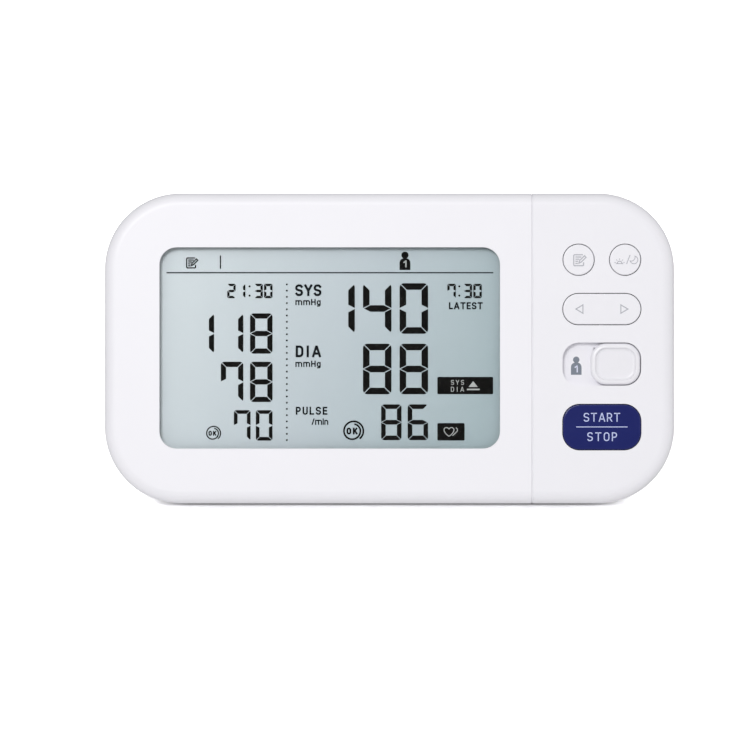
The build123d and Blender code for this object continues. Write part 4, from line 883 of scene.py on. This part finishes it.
# %% Symbols drawn once, for the display and for the keys
def notebook(sheet, x, y, size, line):
    """A page with lines of writing, and a pencil across its corner."""
    page = [(1.72, -0.9), (1.72, -2.1, 0.35), (-1.72, -2.1, 0.35), (-1.72, 1.75, 0.35), (1.5, 1.75)]
    pencil = [(0.1, -1.2), (0.95, -0.8), (2.6, 0.85), (2.05, 1.4), (0.4, -0.25), (0.1, -1.2)]
    line_ends = ((0.95, 1.0), (0.2, 0.3), (-0.55, -0.2), (-1.3, -0.3))
    writing = [[(-1.15, level), (end, level)] for level, end in line_ends]
    for path in (page, pencil, *writing):
        pen(sheet, [tuple(size * value for value in corner) for corner in path], line, x, y)


SHOULDER = 0.42  # a shoulder's radius as a share of the width
NECK = 0.88  # where the shoulders begin, in radii below the middle of the head


def person(sheet, x, y, head, width, height):
    """Head and shoulders; y is the middle of the head, and the shoulders hang below it."""
    lay(sheet, disc(head), x, y)
    body = rectangle(width, height)
    round_off(body, [vert for vert in body.verts if vert.co.y > 0], width * SHOULDER, 8)
    lay(sheet, body, x, y - head * NECK - height / 2)


def fit_ring(sheet, x, y, size, line):
    """A ring whose two ends pass each other, and OK in it."""
    around = round_run(0, 0, 1.0, -52, 180, 32) + round_run(-0.155, 0, 0.845, 180, 360, 24)[1:]
    around += round_run(-0.03, 0, 0.72, 0, 82, 12)[1:]
    lay(sheet, stroke([(size * px, size * py) for px, py in around], line), x, y)
    word(sheet, "OK", x - 0.17 * size, y, 0.7 * size, line, 1.14 * size)


HEART_LOBE = 0.84


def heart(sheet, x, y, line):
    """The outline of a heart, and a second stroke that echoes its right side."""
    right = round_run(HEART_LOBE, 0.5, HEART_LOBE, -22, 155)
    left = round_run(-HEART_LOBE, 0.5, HEART_LOBE, 25, 202)
    outline = [(0, -1.6), (0.62, -1.16), (1.2, -0.56), *right, *left, (-1.2, -0.56), (-0.62, -1.16)]
    lay(sheet, stroke(outline, line, closed=True), x, y)
    echo = [*round_run(HEART_LOBE + 1.15, 0.5, HEART_LOBE, 70, -38), (1.15, -1.45)]
    lay(sheet, stroke(echo, line), x, y)


# %% Lay out the symbols
symbols = bmesh.new()
notebook(symbols, -66.5, 28.75, 0.86, 0.42)
person(symbols, 5.2, 31.2, 1.2, 3.65, 3.9)
fit_ring(symbols, -12.0, -27.75, 3.25, 0.6)
fit_ring(symbols, -58.95, -28.5, 2.32, 0.42)
lay(symbols, rectangle(18.7, 5.8, 0.4), 25.4, -12.5)
lay(symbols, rectangle(9.15, 5.85, 0.4), 20.62, -28.0)
print_sheet("display_symbols", symbols, SEGMENT_LEVEL, segment_dark, "console")

clear = bmesh.new()
word(clear, "SYS", 22.8, -11.45, 1.65, 0.22, 4.4)
word(clear, "DIA", 22.8, -13.75, 1.65, 0.22, 4.4)
lay(clear, triangle(3.1, 1.95), 28.05, -12.0)
pen(clear, [(25.95, -13.8), (30.25, -13.8)], 0.48)
heart(clear, 19.95, -27.9, 0.27)
word(clear, "1", 5.2, 28.3, 2.3, 0.42, 1.0)
clear_film = crystal("clear_liquid_crystal", "b8bcba", "c0c4c2")
print_sheet("display_symbols_clear", clear, SEGMENT_LEVEL + INK, clear_film, "console")

# %% [markdown]
# ## The marks on the keys
#
# The keys carry printed marks: ink that a soft pad pressed on. Each mark rides on its own key, so it
# goes down when the key is pressed. The two users' signs lie on the floor of the slider's pocket, and
# the knob always covers one of them.

# %% Marks that ride on the keys
grey_print = ink("grey_pad_print", "b2b3ba", "babbc2")
lilac_print = ink("lilac_pad_print", "c0c9f0", "c8d1f6")
white_print = ink("white_pad_print", "d6daee", "dee2f4")
slate_print = ink("slate_pad_print", "757d89", "7d8591")
KEY_LEVEL = INK  # the keys lie flush with the face
MEMORY_X, AVERAGE_X, ROUND_KEY_Y = 63.275, 78.825, 29.6

memory_mark = bmesh.new()
notebook(memory_mark, MEMORY_X, ROUND_KEY_Y, 0.95, 0.38)
print_sheet("memory_key_mark", memory_mark, KEY_LEVEL, grey_print, "memory_press_body")

average_mark = bmesh.new()
SUN_X, SUN_Y = AVERAGE_X - 1.85, ROUND_KEY_Y - 1.3
pen(average_mark, [(SUN_X - 1.15, SUN_Y), (SUN_X + 1.15, SUN_Y)], 0.26)
lay(average_mark, stroke(round_run(0, 0, 0.82, 0, 180), 0.32), SUN_X, SUN_Y)
for angle in (12, 51, 90, 129, 168):
    ray = Matrix.Rotation(math.radians(angle), 2)
    lay(average_mark, stroke([ray @ Vector((1.25, 0)), ray @ Vector((1.75, 0))], 0.24), SUN_X, SUN_Y)
pen(average_mark, [(AVERAGE_X + 0.5, ROUND_KEY_Y - 1.4), (AVERAGE_X + 1.65, ROUND_KEY_Y + 1.6)], 0.3)
moon = round_run(2.95, -0.05, 1.3, 75, -165) + round_run(2.03, 0.86, 1.3, -105, 15)[1:-1]
lay(average_mark, stroke(moon, 0.26, closed=True), AVERAGE_X, ROUND_KEY_Y)
print_sheet("average_key_mark", average_mark, KEY_LEVEL, grey_print, "average_press_body")

arrow_mark = bmesh.new()
for way in (-1, 1):
    tip = (KEY_COLUMN_X + way * 8.7, ARROW_KEY_Y)
    foot = KEY_COLUMN_X + way * 6.35
    pen(arrow_mark, [tip, (foot, ARROW_KEY_Y + 1.4), (foot, ARROW_KEY_Y - 1.4), tip], 0.36)
print_sheet("arrow_key_mark", arrow_mark, KEY_LEVEL, grey_print, "arrow_body")

start_mark = bmesh.new()
word(start_mark, "START", KEY_COLUMN_X, -23.1, 2.93, 0.35, 12.2)
pen(start_mark, [(KEY_COLUMN_X - 8.6, -26.33), (KEY_COLUMN_X + 8.6, -26.33)], 0.28)
word(start_mark, "STOP", KEY_COLUMN_X + 0.1, -29.6, 2.93, 0.35, 9.95)
print_sheet("start_key_mark", start_mark, KEY_LEVEL, lilac_print, "start_press_body")

# %% The users' signs on the floor of the pocket
POCKET_FLOOR = -3.2
USER_X = (62.6, 79.5)
users = bmesh.new()
numbers = bmesh.new()
for number, user_x in zip("12", USER_X):
    person(users, user_x, -3.85, 1.07, 3.55, 4.1)
    word(numbers, number, user_x, -6.9, 2.4, 0.42, 1.0)
print_sheet("user_signs", users, POCKET_FLOOR + INK, slate_print, "console")
print_sheet("user_numbers", numbers, POCKET_FLOOR + 2 * INK, white_print, "console")

# %% [markdown]
# ## The slider's dust shield
#
# The slider's stem runs in a slot in the floor of its pocket, and the knob covers only the part of the
# slot that lies beneath it. A thin white shield moves with the bar under the floor and closes the rest,
# so that no dark hole shows at either end of the travel.

# %% Two plates beside the slider's bar
SHIELD_TOP = -4.55  # mm, level with the bar's top
SHIELD_THICKNESS = 0.4
SHIELD_Y = (-2.0, 0.6)
SHIELD_PLATES = ((67.8, 69.35), (81.95, 90.3))  # mm on the face, where each plate begins and ends

shield = bmesh.new()
for left, right in SHIELD_PLATES:
    plate = rectangle(right - left, SHIELD_Y[1] - SHIELD_Y[0])
    lay(shield, plate, (left + right) / 2, sum(SHIELD_Y) / 2)
print_sheet(
    "slider_shield", shield, SHIELD_TOP, finishes["casing_controls"], "slider_body",
    SHIELD_THICKNESS,
)

# %% [markdown]
# ## The lip in the seam
#
# The two front covers meet in a seam a third of a millimetre wide. A lip of the same white plastic
# stands in it, just below the surface, so that the seam reads as a fine grey line and no dust falls in.
# It follows the covers over the top and bottom edges. In side view it is a band with two rounded
# corners, so the pen draws it flat and its thickness then fills the seam.

# %% A band that follows the covers' rim
SEAM_X = 47.8
FACE_HALF = 52.0  # from the face's middle to its top or bottom edge
RIM_DEPTH = 12.0  # how far down the covers' rim the lip reaches
RIM_RADIUS = 4.0
LIP_BELOW = 0.3  # mm, the lip's edge below the covers' surface
LIP_HEIGHT = 0.9
LIP_WIDTH = 0.26

lip_line = LIP_BELOW + LIP_HEIGHT / 2
far_out = FACE_HALF - lip_line
bend = RIM_RADIUS - lip_line
top_half = [(far_out, -lip_line, bend), (far_out, -RIM_DEPTH)]
side_view = [(-x, *rest) for x, *rest in reversed(top_half)] + top_half
lip = stroke(rounded(side_view), LIP_HEIGHT)
thicken(lip, LIP_WIDTH)
upright = Matrix(((0, 0, 1, SEAM_X + LIP_WIDTH / 2), (1, 0, 0, 0), (0, 1, 0, 0), (0, 0, 0, 1)))
lip.transform(on_face @ upright)
seam_lip = mesh_object("seam_lip", lip, finishes["casing_front"])
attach(seam_lip, "console")

# %% [markdown]
# ## Studio and camera
#
# A large soft lamp stands up and to the left of the face, so that the window's upper and left edges
# cast the soft shadow that shows how deep the display lies, and a white world fills the rest. Together
# they light a surface square to the lamp so that its colour comes out as it was written. The floor is
# brighter for the camera than for the object, which gives a white page that keeps the object's shadow.
# So bright a page would wash out the dark line where the case meets the table as well, so under the
# case the page is darkened: a painted contact shadow, which deepens the real one there.

# %% The floor
PAGE_GAIN = 3.2  # the page for the camera, so that only the deepest shadow shows
PAINTED_SHADOW_GAIN = 0.6  # the page under the case, darker: a painted contact shadow
PAINTED_SHADOW_ENDS = (0.0508, 0.0494)  # m from the middle, where that painted shadow fades in from front and back
PAINTED_SHADOW_SIDES = (0.086, 0.066)  # and from each side
PAGE_MIRRORED = 0.6  # the page in reflections and through glass
TABLE = 0.8  # the table's own lightness, as the object's sides feel it
FLOOR_WIDTH = 12.0  # m


def grey(level):
    return (level, level, level, 1)


def smooth_ramp(tree, value, ends, low=0.0, high=1.0):
    """Goes from one level to another between two values, with a soft start and stop."""
    limits = {"Value": value, "From Min": ends[0], "From Max": ends[1], "To Min": low, "To Max": high}
    return add(tree, "ShaderNodeMapRange", limits, interpolation_type="SMOOTHSTEP").outputs[0]


def page_white():
    """A table that is a white page for the camera, with a painted contact shadow under the case."""
    material, tree, shader = new_material("white_paper", IOR=1.45, Roughness=0.9, Base_Color=grey(TABLE))
    ray = add(tree, "ShaderNodeLightPath").outputs
    mirrored = calculate(tree, "MAXIMUM", ray["Is Glossy Ray"], ray["Is Transmission Ray"])
    place = parts_of(tree, spot(tree))
    # A painted contact shadow: the page's gain drops under the case.
    shadow_endways = smooth_ramp(tree, calculate(tree, "ABSOLUTE", place["Y"]), PAINTED_SHADOW_ENDS)
    shadow_sideways = smooth_ramp(tree, calculate(tree, "ABSOLUTE", place["X"]), PAINTED_SHADOW_SIDES)
    gain = varied(tree, calculate(tree, "MULTIPLY", shadow_endways, shadow_sideways), PAGE_GAIN, PAINTED_SHADOW_GAIN)
    soft = add(tree, "ShaderNodeBsdfDiffuse", {"Color": grey(PAGE_MIRRORED)}).outputs[0]
    page = add(tree, "ShaderNodeBsdfDiffuse", {"Color": gain}).outputs[0]
    inner = mixed(tree, mirrored, shader.outputs[0], soft)
    end_with(tree, mixed(tree, ray["Is Camera Ray"], inner, page))
    return material


floor = mesh_object("floor", rectangle(FLOOR_WIDTH, FLOOR_WIDTH), page_white())
floor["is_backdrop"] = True

# %% The lamp and the room
LAMP_SIZE = 0.55  # m
LAMP_DISTANCE = 2.2
LAMP_POWER = 19.8  # W
ROOM_BEHIND = 0.26  # the room's light from behind the object
ROOM_IN_FRONT = 0.74  # and from in front and beside it
ROOM_EDGES = (-0.35, 0.1)  # cosines at which the light from behind ends and that from in front begins
CLOTH = 0.02  # light from the dark cloth round the camera, seen by the face as a mirror
CLOTH_EDGES = (0.87, 0.94)  # cosines of the angles at which the cloth ends and begins
lamp_way = (-0.2 * across + 0.26 * up_face + 1.0 * out_face).normalized()

lamp_data = bpy.data.lights.new("soft_lamp", "AREA")
lamp_data.shape = "DISK"
lamp_data.size = LAMP_SIZE
lamp_data.energy = LAMP_POWER


def aim(item, place, away):
    """Puts a lamp or a camera at a place, with its back to a direction."""
    item.location = place
    item.rotation_mode = "QUATERNION"
    item.rotation_quaternion = away.to_track_quat("Z", "Y")


aim(in_scene("soft_lamp", lamp_data), face_middle + lamp_way * LAMP_DISTANCE, lamp_way)

world = bpy.data.worlds.new("white_room")
world.use_nodes = True
room = world.node_tree
way = add(room, "ShaderNodeTexCoord").outputs["Generated"]
room_way = (0.5 * across - 0.4 * up_face + out_face).normalized()  # towards the brightest wall
from_wall = distance_along(room, way, room_way)
walls = smooth_ramp(room, from_wall, ROOM_EDGES, ROOM_BEHIND, ROOM_IN_FRONT)
cloth = smooth_ramp(room, distance_along(room, way, out_face), CLOTH_EDGES)
level = add(room, "ShaderNodeMix", {0: cloth, 2: walls, 3: CLOTH})
link_to(room, room.nodes["Background"], Strength=level.outputs[0])
room.nodes["Background"].inputs["Color"].default_value = (1, 1, 1, 1)
bpy.context.scene.world = world

# %% The camera, square to the face
CAMERA_DISTANCE = 1.6  # m
SENSOR = 36.0  # mm
VIEW_WIDTH = 250.9  # mm of the face across the picture
VIEW_MIDDLE = (-4.85, -8.96)  # mm on the face, in the middle of the picture

target = face_middle + MM * (VIEW_MIDDLE[0] * across + VIEW_MIDDLE[1] * up_face)
camera_data = bpy.data.cameras.new("camera")
camera_data.sensor_width = SENSOR
camera_data.lens = SENSOR * CAMERA_DISTANCE / (VIEW_WIDTH * MM)
camera = in_scene("camera", camera_data)
aim(camera, target + out_face * CAMERA_DISTANCE, out_face)
bpy.context.scene.camera = camera
bpy.context.scene.view_settings.view_transform = "Standard"
print("lens:", round(camera_data.lens, 1), "mm")

# %% Measure the whole, and finish
seen_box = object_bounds()
sizes = {
    "cad": [[float(value) for value in corner] for corner in cad_box],
    "visual": [[float(value) for value in corner] for corner in seen_box],
}
print("grown by mm:", [round((b - a) / MM, 3) for a, b in zip(cad_box[1], seen_box[1])])
